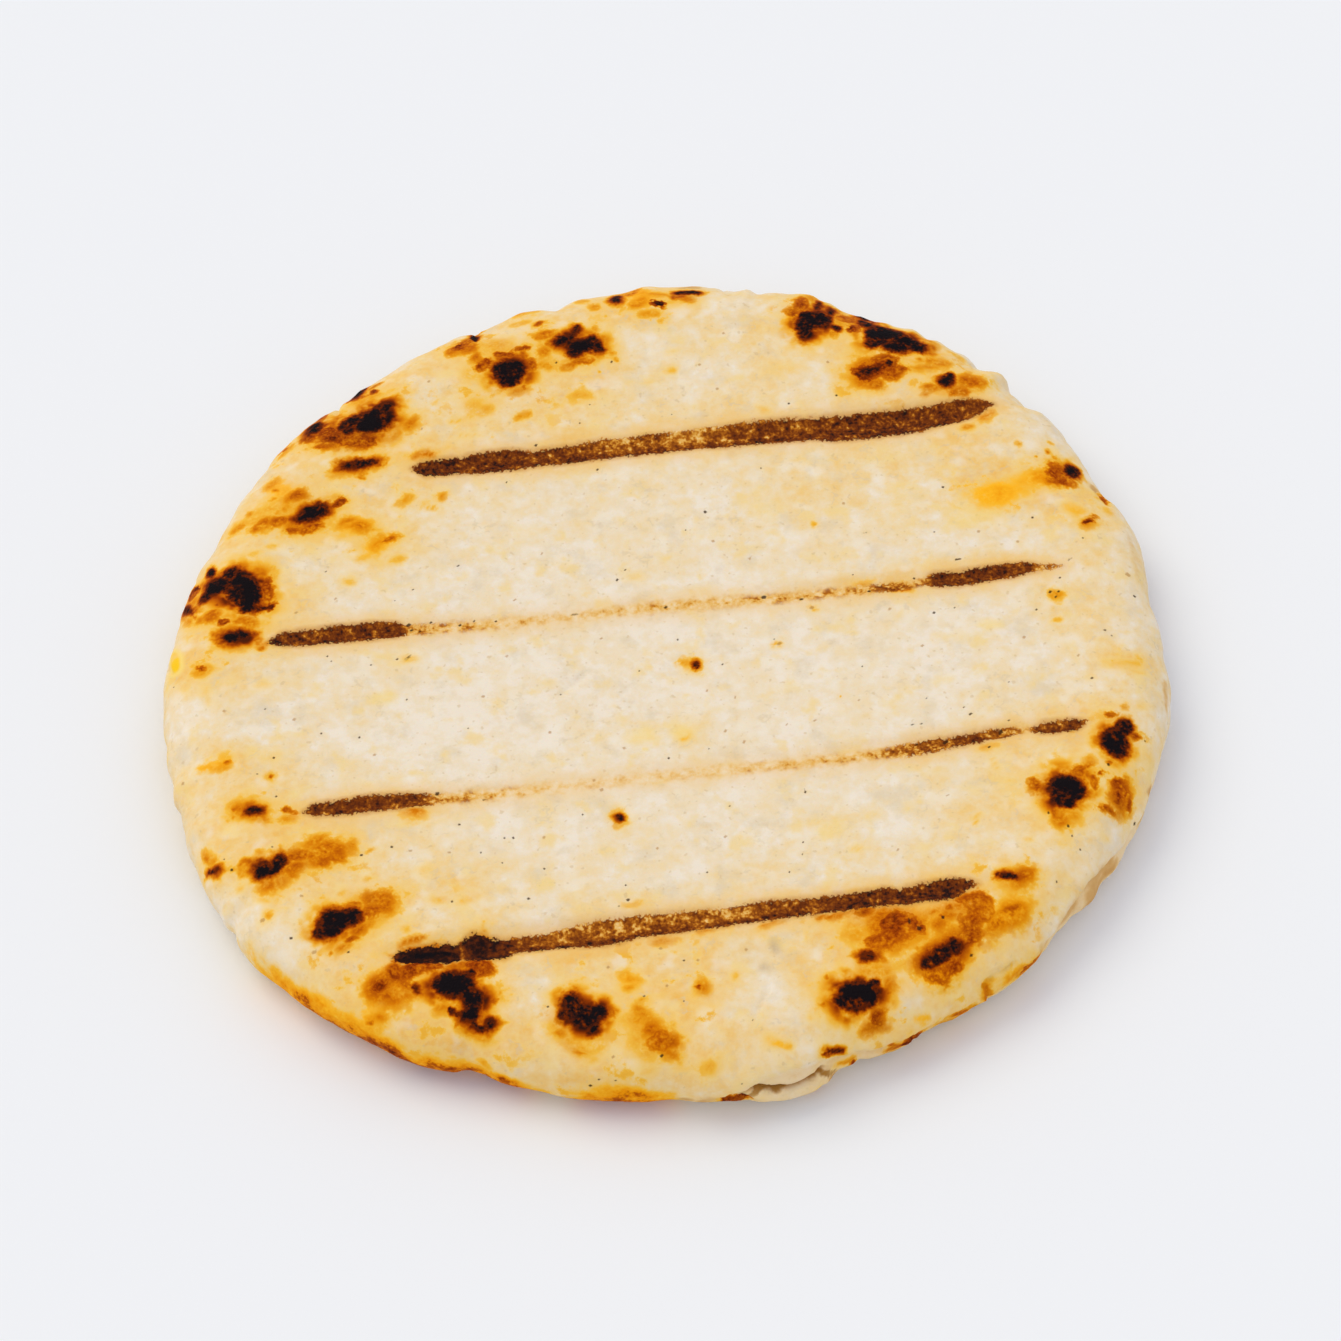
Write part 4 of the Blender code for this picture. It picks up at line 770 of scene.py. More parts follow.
# pressed grill marks, cell by cell: (x, y of the middle, width, burn, extra
# burn along the nearer edge)
MARKS = (
    (
        (-26.4, 32.28, 0.2, 0.8, 0), (-25, 32.15, 2.4, 0.86, 0),
        (-21.2, 32.12, 2.7, 0.84, 0), (-20.2, 32.11, 2.6, 0.68, 0),
        (-19.2, 32.1, 3, 0.76, 0), (-15, 32.17, 3.3, 0.82, 0), (-13, 32.06, 3, 0.78, 0),
        (-12.3, 31.96, 2.6, 0.6, 0), (-11.4, 31.96, 2.6, 0.69, 0.2),
        (-7, 32.07, 2.7, 0.73, 0.28), (-3, 32.26, 2.9, 0.58, 0.22),
        (0, 32.16, 2.9, 0.57, 0.22), (3, 32.25, 3.1, 0.66, 0.26),
        (6, 32.25, 3.2, 0.48, 0.16), (9, 32.3, 3.3, 0.52, 0.12),
        (11, 32.19, 3.4, 0.58, 0.2), (14, 32.19, 3.5, 0.69, 0.2),
        (17, 32.15, 3.7, 0.66, 0.2), (19, 32.01, 3.7, 0.74, 0.2),
        (22, 31.8, 3.7, 0.68, 0.2), (25, 31.43, 4.25, 0.74, 0.2),
        (27.5, 31.33, 4.35, 0.76, 0.25), (30, 31.34, 4.35, 0.76, 0.25),
        (33.4, 31.34, 4.35, 0.79, 0.25), (34.3, 31.45, 4.25, 0.7, 0.2),
        (35.5, 31.45, 4.15, 0.77, 0.25), (38, 31.75, 3.6, 0.75, 0.25),
        (41, 32.2, 3.3, 0.74, 0.1), (43.5, 32.6, 2.3, 0.66, 0), (45.3, 32.87, 0.3, 0.66, 0),
    ),
    (
        (-46.3, 8.1, 0.2, 0.85, 0), (-45, 8.3, 1.8, 0.72, 0), (-42, 8.27, 2.3, 0.74, 0),
        (-38, 8.22, 2.5, 0.76, 0), (-34, 8.24, 2.6, 0.74, 0), (-31, 8.07, 2.3, 0.72, 0),
        (-30.4, 7.96, 1.9, 0.66, 0), (-29.8, 7.74, 1.8, 0.42, 0), (-26, 7.55, 1.7, 0.38, 0),
        (-22, 7.42, 1.7, 0.33, 0), (-18, 7.27, 1.6, 0.26, 0), (-12, 7.15, 1.6, 0.22, 0),
        (-6, 7.25, 1.6, 0.22, 0), (0, 7.2, 1.8, 0.3, 0), (3, 7.06, 1.8, 0.28, 0),
        (8, 6.78, 1.7, 0.28, 0), (13, 6.45, 1.7, 0.34, 0), (18, 6.35, 1.6, 0.33, 0),
        (21, 6.27, 1.6, 0.35, 0), (25, 6.18, 1.6, 0.38, 0), (27, 6.12, 1.5, 0.44, 0),
        (28, 6.15, 1.5, 0.54, 0), (31, 6.28, 1.4, 0.36, 0), (32.4, 6.46, 1.4, 0.44, 0),
        (33.3, 6.45, 2.2, 0.82, 0), (36, 6.31, 2.3, 0.77, 0), (40, 6.54, 2.2, 0.76, 0),
        (43, 6.69, 2.1, 0.72, 0), (45.3, 6.76, 1.5, 0.66, 0), (46.2, 6.64, 0.9, 0.54, 0),
        (48.5, 6.51, 0.7, 0.44, 0), (49.2, 6.5, 0.1, 0.4, 0),
    ),
    (
        (-44.9, -17.4, 0.2, 0.8, 0), (-43.5, -17.25, 1.75, 0.72, 0),
        (-40, -17.25, 2.25, 0.77, 0), (-36, -17.15, 2.35, 0.7, 0),
        (-32, -17.43, 2, 0.68, 0), (-30.3, -17.49, 1.7, 0.62, 0),
        (-29.6, -17.6, 1.5, 0.43, 0), (-27, -17.7, 1.8, 0.35, 0),
        (-22, -17.87, 1.7, 0.28, 0), (-14, -17.83, 1.6, 0.19, 0), (-5, -17.93, 1.6, 0.2, 0),
        (4, -18.07, 1.6, 0.23, 0), (11, -18.3, 1.6, 0.26, 0), (17, -18.4, 1.6, 0.29, 0),
        (22, -18.4, 1.7, 0.32, 0), (27, -18.21, 2.1, 0.53, 0), (30, -17.95, 1.9, 0.61, 0),
        (31.4, -17.85, 1.7, 0.64, 0), (32.5, -17.76, 1.6, 0.74, 0),
        (34.8, -17.66, 1.6, 0.73, 0), (35.6, -17.36, 1.4, 0.58, 0),
        (37.4, -17.37, 1.4, 0.58, 0), (39.5, -17.18, 1, 0.46, 0),
        (40.5, -17.28, 0.5, 0.35, 0), (41.5, -17.38, 1, 0.6, 0),
        (42.5, -17.38, 1.7, 0.66, 0), (46.4, -17.49, 1.6, 0.76, 0),
        (47.2, -17.4, 0.6, 0.66, 0), (48, -17.2, 0.2, 0.4, 0),
    ),
    (
        (-36.9, -39.5, 0.3, 0.95, 0), (-36.2, -39.5, 1.8, 1, 0), (-34, -39.45, 2.4, 1, 0),
        (-30.5, -39.69, 2.8, 1, 0), (-29.4, -39.68, 2.6, 0.95, 0),
        (-29.05, -39.58, 2.4, 0.6, 0), (-28.7, -39.48, 3, 0.92, 0),
        (-27.2, -39.37, 4, 0.95, 0), (-25.5, -39.76, 3.4, 0.92, 0),
        (-23.8, -39.95, 3, 0.9, 0), (-23.3, -39.66, 2.4, 0.66, 0),
        (-22.3, -39.58, 2.3, 0.66, 0.2), (-20, -39.62, 2.4, 0.6, 0.3),
        (-18, -39.55, 2.7, 0.57, 0.3), (-15.5, -39.38, 3.2, 0.62, 0.35),
        (-12.5, -39.42, 3.8, 0.62, 0.35), (-10.5, -39.24, 3.6, 0.59, 0.35),
        (-8.5, -38.97, 3.1, 0.59, 0.2), (-5, -39, 3, 0.61, 0.2),
        (0, -39.08, 2.7, 0.6, 0.15), (2.4, -38.95, 2.6, 0.52, 0.25),
        (3.5, -38.9, 2.6, 0.56, 0.3), (4.6, -38.86, 2.7, 0.62, 0.3),
        (6, -38.85, 2.7, 0.66, 0.25), (9, -38.9, 2.6, 0.68, 0.2),
        (12, -38.95, 2.4, 0.72, 0.2), (18, -38.9, 2.4, 0.79, 0.2),
        (20.5, -38.85, 2.5, 0.8, 0.2), (21.7, -39.06, 2.3, 0.76, 0.2),
        (22.8, -38.96, 2.5, 0.8, 0.1), (26, -38.78, 2.8, 0.84, 0.1),
        (28.3, -38.69, 2.9, 0.88, 0.05), (29.1, -38.59, 1.9, 0.78, 0),
        (30.2, -38.5, 1.2, 0.74, 0), (31, -38.6, 0.2, 0.6, 0),
    ),
)

# soft golden haze round the toasted clusters and along the marks:
# (u, v, length, width, turn, added warmth)
HAZES = (
    (-12.0, 49.0, 24.0, 13.0, 0, 0.34), (5.0, 56.0, 11.0, 7.0, 0, 0.34),
    (-33.0, 42.0, 18.0, 11.0, 40, 0.36), (-41.0, 28.0, 19.0, 9.0, -10, 0.34),
    (-32.0, 22.0, 7.0, 8.0, 0, 0.30), (-51.0, 15.0, 12.0, 14.0, 0, 0.34),
    (-55.5, 6.0, 9.0, 6.0, 0, 0.26), (-20.0, 37.0, 30.0, 9.0, 0, 0.16),
    (-27.0, 33.0, 10.0, 7.0, 0, 0.20), (10.0, 33.0, 62.0, 6.5, 0, 0.12),
    (24.0, 49.0, 9.0, 9.0, 0, 0.28), (33.0, 43.0, 14.0, 11.0, -30, 0.30),
    (40.0, 35.5, 9.0, 7.0, 0, 0.36), (42.5, 19.0, 12.0, 6.0, 0, 0.42),
    (52.0, 15.0, 6.0, 7.0, 0, 0.22), (35.0, 25.0, 16.0, 12.0, 0, 0.12),
    (-40.0, 7.5, 30.0, 5.0, 0, 0.20), (32.0, 7.5, 32.0, 5.0, 0, 0.20),
    (0.0, 7.5, 60.0, 3.6, 0, 0.10), (-53.0, -9.0, 10.0, 6.0, 0, 0.22),
    (-50.0, -18.0, 15.0, 9.0, -30, 0.32), (-45.0, -24.0, 15.0, 7.0, 5, 0.36),
    (-35.0, -17.5, 16.0, 4.5, 0, 0.20), (31.0, -17.7, 32.0, 4.6, 0, 0.24),
    (0.0, -17.6, 50.0, 3.2, 0, 0.08), (53.0, -9.0, 9.0, 5.0, 0, 0.26),
    (45.0, -25.0, 14.0, 12.0, 20, 0.32), (50.0, -19.0, 9.0, 9.0, 0, 0.14),
    (-42.0, -33.0, 13.0, 8.0, 25, 0.30), (-30.0, -31.0, 11.0, 5.0, 0, 0.20),
    (-39.0, -44.0, 19.0, 13.0, -35, 0.46), (-31.0, -51.0, 17.0, 12.0, -25, 0.40),
    (-15.0, -41.5, 16.0, 4.5, 0, 0.28), (1.0, -40.5, 14.0, 3.5, 0, 0.14),
    (-17.0, -50.5, 9.0, 13.0, 0, 0.28), (-8.0, -51.0, 12.0, 15.0, 0, 0.30),
    (-16.0, -60.0, 14.0, 6.0, -5, 0.42), (22.5, -43.0, 28.0, 11.0, 5, 0.52),
    (16.0, -51.5, 9.0, 9.0, 0, 0.28), (4.5, -47.0, 8.0, 9.0, 0, -0.16),
    (9.0, 42.0, 9.0, 13.0, 0, -0.10), (-5.0, 36.0, 8.0, 4.0, 0, 0.14),
    (-36.0, 35.5, 5.0, 3.0, 0, -0.14), (-20.0, -46.5, 4.0, 9.0, 0, -0.10),
    (20.0, 20.0, 30.0, 12.0, 10, 0.12), (37.0, -37.0, 8.0, 6.0, 0, 0.20),
    (-2.5, -50.5, 6.0, 8.0, 0, 0.14), (24.0, -55.0, 14.0, 4.0, 20, 0.12),
    (-57.0, -2.0, 8.0, 9.0, 0, -0.12), (-52.0, -32.5, 8.0, 6.0, 0, -0.14),
    (-14.0, 46.0, 14.0, 9.0, 0, 0.24), (-9.0, 41.5, 13.0, 6.0, 0, 0.12), (-31.0, 36.5, 13.0, 8.0, 20, 0.16),
    (-26.0, 28.0, 8.0, 5.0, 0, 0.14), (40.0, 34.5, 9.0, 6.0, 0, 0.26), (33.0, 39.0, 10.0, 9.0, -20, 0.16),
    (14.0, -42.0, 6.0, 9.0, 0, 0.26), (26.0, -42.0, 18.0, 6.0, 0, 0.16), (-10.0, -40.8, 18.0, 3.0, 0, 0.28),
    (-9.0, -50.0, 10.0, 14.0, 0, 0.18), (-3.0, -48.5, 5.0, 6.0, 0, 0.20), (-38.0, -45.5, 15.0, 8.0, -30, 0.20),
    (32.0, 7.5, 7.0, 3.0, 0, 0.14), (-15.0, -58.5, 10.0, 4.0, 0, 0.16), (-50.0, -13.5, 8.0, 6.0, 0, 0.10),
    (23.5, 50.0, 5.0, 6.0, 0, 0.18), (-29.0, 46.0, 6.0, 5.0, 0, 0.16), (5.0, -48.0, 6.0, 7.0, 0, -0.10),
    (-1.5, 20.0, 9.0, 10.0, 0, -0.05), (-25.0, -8.0, 6.0, 14.0, 0, -0.06), (-16.0, -25.5, 7.0, 8.0, 0, -0.05),
    (46.0, -33.0, 12.0, 8.0, 40, -0.08), (55.0, 27.0, 5.0, 8.0, 0, -0.06),
)

# golden edge at the front left: (bearing, where it begins, how toasted)
GOLDEN_EDGE = (
    (196.0, 66.0, 0.0), (204.0, 64.5, 0.08), (211.0, 62.6, 0.16), (217.0, 62.8, 0.40),
    (222.0, 62.2, 0.50), (229.0, 62.6, 0.56), (234.0, 62.6, 0.58), (240.0, 62.4, 0.57),
    (245.5, 61.8, 0.54), (248.0, 62.0, 0.16), (250.5, 62.4, 0.12), (253.0, 60.8, 0.42),
    (257.0, 60.2, 0.50), (261.0, 61.0, 0.46), (264.5, 62.0, 0.12), (268.0, 64.0, 0.0),
)

# edge of the top crust where the rim is torn away below it:
# (bearing, distance along the skin from the middle, drop)
TORN_EDGE = (
    (269.6, 61.4, 0.00), (271.7, 60.8, 0.10), (273.4, 60.6, 0.17),
    (275.4, 60.2, 0.20), (277.7, 60.0, 0.21), (280.1, 59.9, 0.24),
    (283.0, 60.5, 0.28), (286.4, 60.5, 0.31), (289.3, 60.6, 0.35),
    (293.2, 60.9, 0.34), (296.2, 61.1, 0.31), (299.1, 61.8, 0.27),
    (300.6, 61.9, 0.37), (304.7, 60.6, 0.41), (307.3, 61.0, 0.37),
    (310.2, 60.5, 0.31), (314.0, 59.8, 0.31), (319.3, 59.1, 0.41),
    (323.6, 60.3, 0.31), (328.4, 61.0, 0.20), (332.8, 61.3, 0.17),
    (338.0, 61.5, 0.00),
)

# cracks and creases over the skin: (half width, depth, points)
CREASES = (
    (0.34, 1.25, ((-1.2, -62.6), (1.0, -62.6), (2.3, -61.7), (4.0, -62.4),
                  (7.0, -62.3), (9.3, -61.4), (10.4, -60.6))),
    # this one is the recess below the front crack; its darkness is painted shade
    (0.80, 0.95, ((-2.0, -63.8), (0.3, -63.6), (1.1, -64.8))),
    (0.28, 0.45, ((30.3, -51.0), (32.3, -49.6), (34.0, -48.6))),
    (0.30, 0.50, ((38.0, -46.6), (38.9, -46.1), (40.2, -45.4))),
    (0.26, 0.40, ((31.9, -53.0), (31.2, -51.6), (31.0, -50.9))),
    (0.30, 0.35, ((26.0, -55.2), (28.6, -54.2), (30.0, -53.2))),
    (0.30, 0.40, ((21.4, -57.0), (22.6, -58.4), (23.4, -59.4))),
    (0.35, 0.30, ((43.6, -41.2), (45.2, -38.7), (47.2, -37.0))),
    (0.30, 0.22, ((-13.2, -4.2), (-11.4, -2.8), (-9.4, -1.0))),
    (0.30, 0.25, ((2.9, -53.2), (4.2, -50.8), (4.9, -49.6))),
    (0.35, 0.30, ((55.0, -28.4), (56.4, -27.7), (57.6, -27.6))),
    (0.40, 0.35, ((56.2, 19.8), (56.8, 18.4), (57.0, 16.6))),
    (0.35, 0.50, ((-34.6, 44.0), (-34.4, 46.0), (-34.6, 48.4))),
    (0.35, 0.35, ((-16.0, 52.6), (-15.9, 54.6), (-16.2, 56.4))),
    (0.35, 0.35, ((-60.2, 9.4), (-59.2, 8.2), (-58.6, 7.0))),
    (0.40, 0.30, ((15.6, 58.0), (16.2, 60.0), (16.0, 62.0))),
    (0.40, 0.35, ((44.6, 41.8), (46.4, 42.4), (48.0, 43.4))),
    (0.26, 0.22, ((-60.4, -13.4), (-59.2, -12.8), (-58.2, -12.5))),
)

# unevenness of the rim: (bearing, how far out it stands, half width, degrees)
RIM_KNOBS = (
    (354.5, -0.42, 2.5), (3.0, -0.40, 2.6), (19.0, -0.25, 2.0), (25.5, 0.17, 2.5),
    (34.6, -0.52, 1.4), (39.5, 0.85, 1.2), (42.3, -0.44, 1.1), (45.0, 0.16, 1.2),
    (48.2, 0.48, 1.5), (51.5, 0.38, 1.1), (54.0, -0.12, 0.8), (56.6, -0.26, 1.0),
    (62.2, 0.18, 1.0), (64.9, 0.42, 1.3), (67.6, -0.10, 0.9), (70.7, -0.36, 0.9),
    (72.1, 0.42, 0.8), (74.0, -0.22, 0.8), (77.8, 0.28, 1.1), (84.6, 0.55, 1.6),
    (92.8, 0.58, 1.3), (95.6, -0.80, 0.8), (99.6, 0.66, 2.2), (104.4, 0.45, 1.3), (115.0, 0.32, 1.6),
    (122.8, 0.28, 1.6), (127.7, -0.10, 1.0), (137.0, 0.30, 1.6), (142.8, -0.25, 1.0),
    (151.0, 0.27, 1.8), (158.0, -0.36, 0.9), (163.2, 0.02, 2.2), (181.8, -0.30, 1.5),
    (189.2, 0.60, 1.3), (192.6, 0.30, 1.3), (195.6, 0.42, 1.8), (205.3, -0.36, 1.3), (208.1, -0.66, 1.0),
    (213.2, 0.38, 2.4), (233.8, 0.28, 3.6), (239.7, -0.34, 0.9), (262.6, -0.44, 2.2),
    (279.4, -0.30, 0.5), (281.6, -0.70, 1.3), (284.2, -0.68, 1.2), (290.0, 0.40, 1.8), (300.0, 0.35, 3.0), (303.8, 0.30, 2.0), (308.0, 0.25, 2.0),
    (313.0, -0.30, 1.6), (316.6, -0.45, 2.0), (322.8, -0.40, 1.8), (328.5, -0.30, 1.4),
)

# amber of a strong clear yellow: (u, v, length, width, turn, amount)
VIVID = (
    (42.8, 19.0, 8.0, 6.5, 0, 1.0), (48.0, 20.3, 4.5, 3.0, 10, 0.7), (51.9, 15.6, 4.0, 3.0, 0, 0.6),
    (-47.0, -43.0, 5.5, 4.0, -30, 0.7), (-43.0, -46.8, 6.0, 5.0, -30, 0.8),
    (-31.5, -55.0, 8.0, 4.0, -15, 0.7), (-26.4, -58.2, 4.5, 3.0, -20, 0.7),
    (-14.5, -60.8, 7.0, 3.0, -5, 0.6), (35.0, -50.2, 4.0, 2.5, 40, 0.7), (34.0, -42.6, 6.0, 3.0, 30, 0.5),
    (24.0, -50.2, 6.0, 1.8, 15, 0.6), (22.0, -54.8, 2.6, 1.4, 5, 0.8), (-11.0, -46.5, 3.0, 2.6, 0, 0.5),
    (-42.5, 32.0, 4.0, 4.0, 0, 0.6), (-34.0, 24.5, 5.0, 3.0, 10, 0.5), (-32.0, 21.0, 5.0, 2.0, 30, 0.6),
    (-54.6, -8.6, 4.6, 2.0, 0, 0.6), (4.8, -56.9, 2.6, 1.4, -20, 0.7), (0.4, -12.3, 2.0, 2.0, 0, 0.6),
    (5.0, 56.8, 4.0, 4.0, 0, 0.6), (23.2, 49.0, 2.4, 5.0, 0, 0.5), (-49.0, 42.5, 4.5, 6.0, 0, 0.6),
)

# the browned crack above the front flap
SEAM = ((-1.4, -64.4), (0.7, -64.3), (2.2, -62.0), (4.4, -62.6), (6.3, -62.3), (8.4, -61.8),
        (9.8, -61.1), (12.4, -62.0))

# ---------------------------------------------------------------------------
# Fields over the skin
# ---------------------------------------------------------------------------
FLAT = np.stack([U, V, np.zeros(len(U))], -1)
TOP_SIDE = UNDER < 0.5


def warped(amount, size, seed, fine=0.0):
    """(u, v) pushed about a little, so that the lobes come out uneven."""
    a, b = Noise(seed), Noise(seed + 100)
    du, dv = amount * a(FLAT, size), amount * b(FLAT, size)
    if fine:
        du = du + fine * Noise(seed + 200)(FLAT, 1.6)
        dv = dv + fine * Noise(seed + 300)(FLAT, 1.6)
    return U + du, V + dv


def lobe(u, v, spec, pad=6.0):
    """Indices near an ellipse and their signed distance to it."""
    cu, cv, length, width, turn = spec[:5]
    a, b = max(length / 2, 0.05), max(width / 2, 0.05)
    reach = max(a, b) + pad
    near = np.nonzero(TOP_SIDE & (np.abs(u - cu) < reach) & (np.abs(v - cv) < reach))[0]
    t = math.radians(turn)
    du, dv = u[near] - cu, v[near] - cv
    p, q = du * math.cos(t) + dv * math.sin(t), dv * math.cos(t) - du * math.sin(t)
    k = np.sqrt((p / a) ** 2 + (q / b) ** 2)
    g = np.sqrt((p / a / a) ** 2 + (q / b / b) ** 2)
    d = np.where(k > 1e-6, k * (k - 1.0) / np.maximum(g, 1e-9), -min(a, b))
    return near, np.maximum(d, -min(a, b))


def soft_min(a, b, k):
    h = np.clip(0.5 + 0.5 * (b - a) / k, 0.0, 1.0)
    return b + (a - b) * h - k * h * (1.0 - h)


def char_field():
    u, v = warped(0.34, 4.2, 21, 0.17)
    out = np.full(len(U), 9.0)
    for spec in CHARS:
        near, d = lobe(u, v, spec, 7.0)
        steep = float(np.clip(1.95 - 0.45 * math.sqrt(spec[2] * spec[3]), 1.0, 1.7))
        steep *= 1.0 + max(0.0, 0.8 - spec[5]) * 1.3
        out[near] = soft_min(out[near], np.where(d > 0.0, d * steep, d), 0.35)
    return out


def halo_field():
    """Amber round the burnt places: wide round the big ones."""
    u, v = warped(0.50, 3.6, 21, 0.17)
    out = np.zeros(len(U))
    for spec in CHARS:
        size = math.sqrt(spec[2] * spec[3])
        reach = 0.42 + 0.44 * min(size, 4.2) * spec[5]
        near, d = lobe(u, v, spec, 2.8 * reach)
        h = min(1.0, 0.30 + size / 3.0) * (0.40 + 0.60 * min(spec[5], 1.0)) \
            * np.exp(-1.0 * (np.maximum(d, 0.0) / reach) ** 1.4)
        old = out[near]
        out[near] = np.maximum(old, h) + 0.30 * np.minimum(old, h) * (1.0 - np.maximum(old, h))
    return out


def toast_and_shade_layer(low, high):
    """The toast lobes, and the painted shade lobes, of one strength: distance to them, mm, and level."""
    u, v = warped(0.62, 3.4, 31, 0.24)
    k = 0.28
    total, share = np.zeros(len(U)), np.zeros(len(U))
    for spec in TOASTS_AND_SHADE:
        if low <= spec[5] < high:
            near, d = lobe(u, v, spec, 5.0)
            size = math.sqrt(spec[2] * spec[3])
            scale = 2.1 / size
            d = np.where(d > 0.0, d * float(np.clip(scale, 0.42, 1.15)), d * float(np.clip(scale, 0.75, 1.15)))
            w = np.exp(-np.maximum(d, -1.4) / k)
            total[near] += w
            share[near] += w * spec[5]
    far = total < 1e-6
    total = np.maximum(total, 1e-6)
    return np.where(far, 3.6, -k * np.log(total)), np.where(far, 0.0, share / total)


def glow_field():
    """Golden glow that every browned spot leaves on the crust round it."""
    u, v = warped(1.1, 4.4, 161, 0.25)
    out = np.zeros(len(U))
    specs = [(s[:5], 0.22 * s[5]) for s in CHARS] + [(s[:5], 0.30 * s[5]) for s in TOASTS_AND_SHADE]
    for spec, strength in specs:
        size = math.sqrt(max(spec[2], 0.4) * max(spec[3], 0.4))
        reach = 0.9 + 0.45 * min(size, 4.0)
        near, d = lobe(u, v, spec, 2.6 * reach)
        g = strength * min(1.0, 0.35 + size / 3.4) * np.exp(-(np.maximum(d, 0.0) / reach) ** 2)
        out[near] += g * (1.0 - out[near])
    return out


def crumb_field(specs, snap):
    """How far inside a crumb each place is, in mm (negative outside)."""
    out = np.full(len(U), -3.0)
    flat = np.stack([U, V], -1)
    top = np.nonzero(TOP_SIDE)[0]
    for spec in specs:
        spec = list(spec)
        if snap and max(spec[2], spec[3]) < 1.0:
            i = top[np.argmin(((flat[top] - spec[:2]) ** 2).sum(1))]
            spec[0], spec[1] = U[i], V[i]
        near, d = lobe(U, V, spec, 2.0)
        out[near] = np.maximum(out[near], -d)
    return out


def patch_field(specs, seed):
    u, v = warped(0.5, 4.0, seed, 0.2)
    out = np.zeros(len(U))
    for spec in specs:
        soft = 0.25 + 0.34 * min(spec[2], spec[3])
        near, d = lobe(u, v, spec, soft + 0.5)
        out[near] = np.maximum(out[near], spec[5] * (1.0 - smoothstep(-soft, soft, d)))
    return out


def mark_field():
    """Signed distance to the nearest pressed mark, and how burnt it is there."""
    wob = Noise(41)
    dist = np.full(len(U), 9.0)
    burn = np.zeros(len(U))
    drift = 0.16 * wob(FLAT, 2.4, 2)
    for rows in MARKS:
        xs, ys, ws, bs, es = (np.array(c) for c in zip(*rows))
        yc = np.interp(U, xs, ys) + drift
        half = np.interp(U, xs, ws) / 2
        past = np.maximum(np.maximum(xs[0] - U, U - xs[-1]), 0.0)
        across = V - yc
        d = np.hypot(np.maximum(np.abs(across) - half, 0.0), past)
        d = np.where((np.abs(across) < half) & (past == 0.0), np.abs(across) - half, d)
        low = smoothstep(0.05, 0.85, -across / np.maximum(half, 0.1))
        es = es * np.clip(1.0 - (bs - 0.5) * 3.0, 0.15, 1.0)
        b = np.interp(U, xs, bs) + np.interp(U, xs, es) * low \
            - 0.35 * np.interp(U, xs, es) * (1.0 - low)
        nearer = (d < dist) & TOP_SIDE
        dist = np.where(nearer, d, dist)
        burn = np.where(nearer, b, burn)
    return dist, np.clip(burn, 0.0, 1.0)


def crease_field():
    """Depth of the cracks and creases at each place, mm."""
    u, v = warped(0.25, 2.6, 51)
    out = np.zeros(len(U))
    for half, depth, pts in CREASES:
        d = np.full(len(U), 9.0)
        for (x0, y0), (x1, y1) in zip(pts[:-1], pts[1:]):
            ex, ey = x1 - x0, y1 - y0
            t = np.clip(((u - x0) * ex + (v - y0) * ey) / (ex * ex + ey * ey), 0.0, 1.0)
            d = np.minimum(d, np.hypot(u - x0 - ex * t, v - y0 - ey * t))
        out = np.maximum(out, depth * np.exp(-(d / half) ** 2))
    return np.where(TOP_SIDE, out, 0.0)


RAD = np.hypot(U, V)
BEAR = np.degrees(np.arctan2(V, U)) % 360.0


def seam_field():
    """The browned crack where the front flap lifts off."""
    out = np.zeros(len(U))
    u, v = warped(0.26, 1.8, 211, 0.26)
    for (ax, ay), (bx, by) in zip(SEAM[:-1], SEAM[1:]):
        run = (bx - ax) ** 2 + (by - ay) ** 2
        t = np.clip(((u - ax) * (bx - ax) + (v - ay) * (by - ay)) / run, 0.0, 1.0)
        d = np.hypot(u - ax - t * (bx - ax), v - ay - t * (by - ay))
        out = np.maximum(out, np.exp(-(d / 0.42) ** 2))
    return np.where(TOP_SIDE, out, 0.0)


def torn_rim():
    """How far the rim is torn back below the edge of the crust, mm."""
    b, s, drop = (np.array(c) for c in zip(*TORN_EDGE))
    edge = np.interp(BEAR, b, s) + 0.35 * Noise(61)(FLAT, 2.2, 2)
    depth = np.interp(BEAR, b, drop, left=0.0, right=0.0)
    step = smoothstep(-0.1, 0.55, RAD - edge)
    curl = depth * smoothstep(-3.2, -0.2, RAD - edge) * (1.0 - step)
    away = 1.0 - smoothstep(edge + 4.5, edge + 8.0, RAD)
    sunk = smoothstep(edge + 4.0, edge + 0.5, RAD)
    return np.where(TOP_SIDE, 1.35 * depth * step * sunk - 0.9 * curl, 0.0), \
        np.where(TOP_SIDE & (depth > 0.02), step * away, 0.0)


char = char_field()
halo = halo_field()
dark_d, dark_l = toast_and_shade_layer(0.60, 2.0)
brown_d, brown_l = toast_and_shade_layer(0.44, 0.60)
gold_d, gold_l = toast_and_shade_layer(0.0, 0.44)
toast = np.zeros(len(U))
glow = glow_field()
crumb = crumb_field(CRUMBS, True)
fleck = crumb_field(FLECKS, True)
corn = patch_field(CORNS, 71)
stain = patch_field(STAINS, 81)
tear_and_rim_shade = patch_field(TEARS_AND_RIM_SHADE, 91)
mark, burn = mark_field()
crease = crease_field()
vivid = patch_field(VIVID, 201)
seam = seam_field()
torn, torn_face = torn_rim()
flap = np.exp(-((U - 8.4) / 4.4) ** 4) * np.exp(-((RAD - 64.2) / 1.3) ** 2) * TOP_SIDE
flap += 0.6 * np.exp(-((U - 15.0) / 1.3) ** 2) * np.exp(-((RAD - 63.4) / 0.9) ** 2) * TOP_SIDE
torn_face = torn_face * (1.0 - 0.85 * np.clip(flap, 0.0, 1.0))

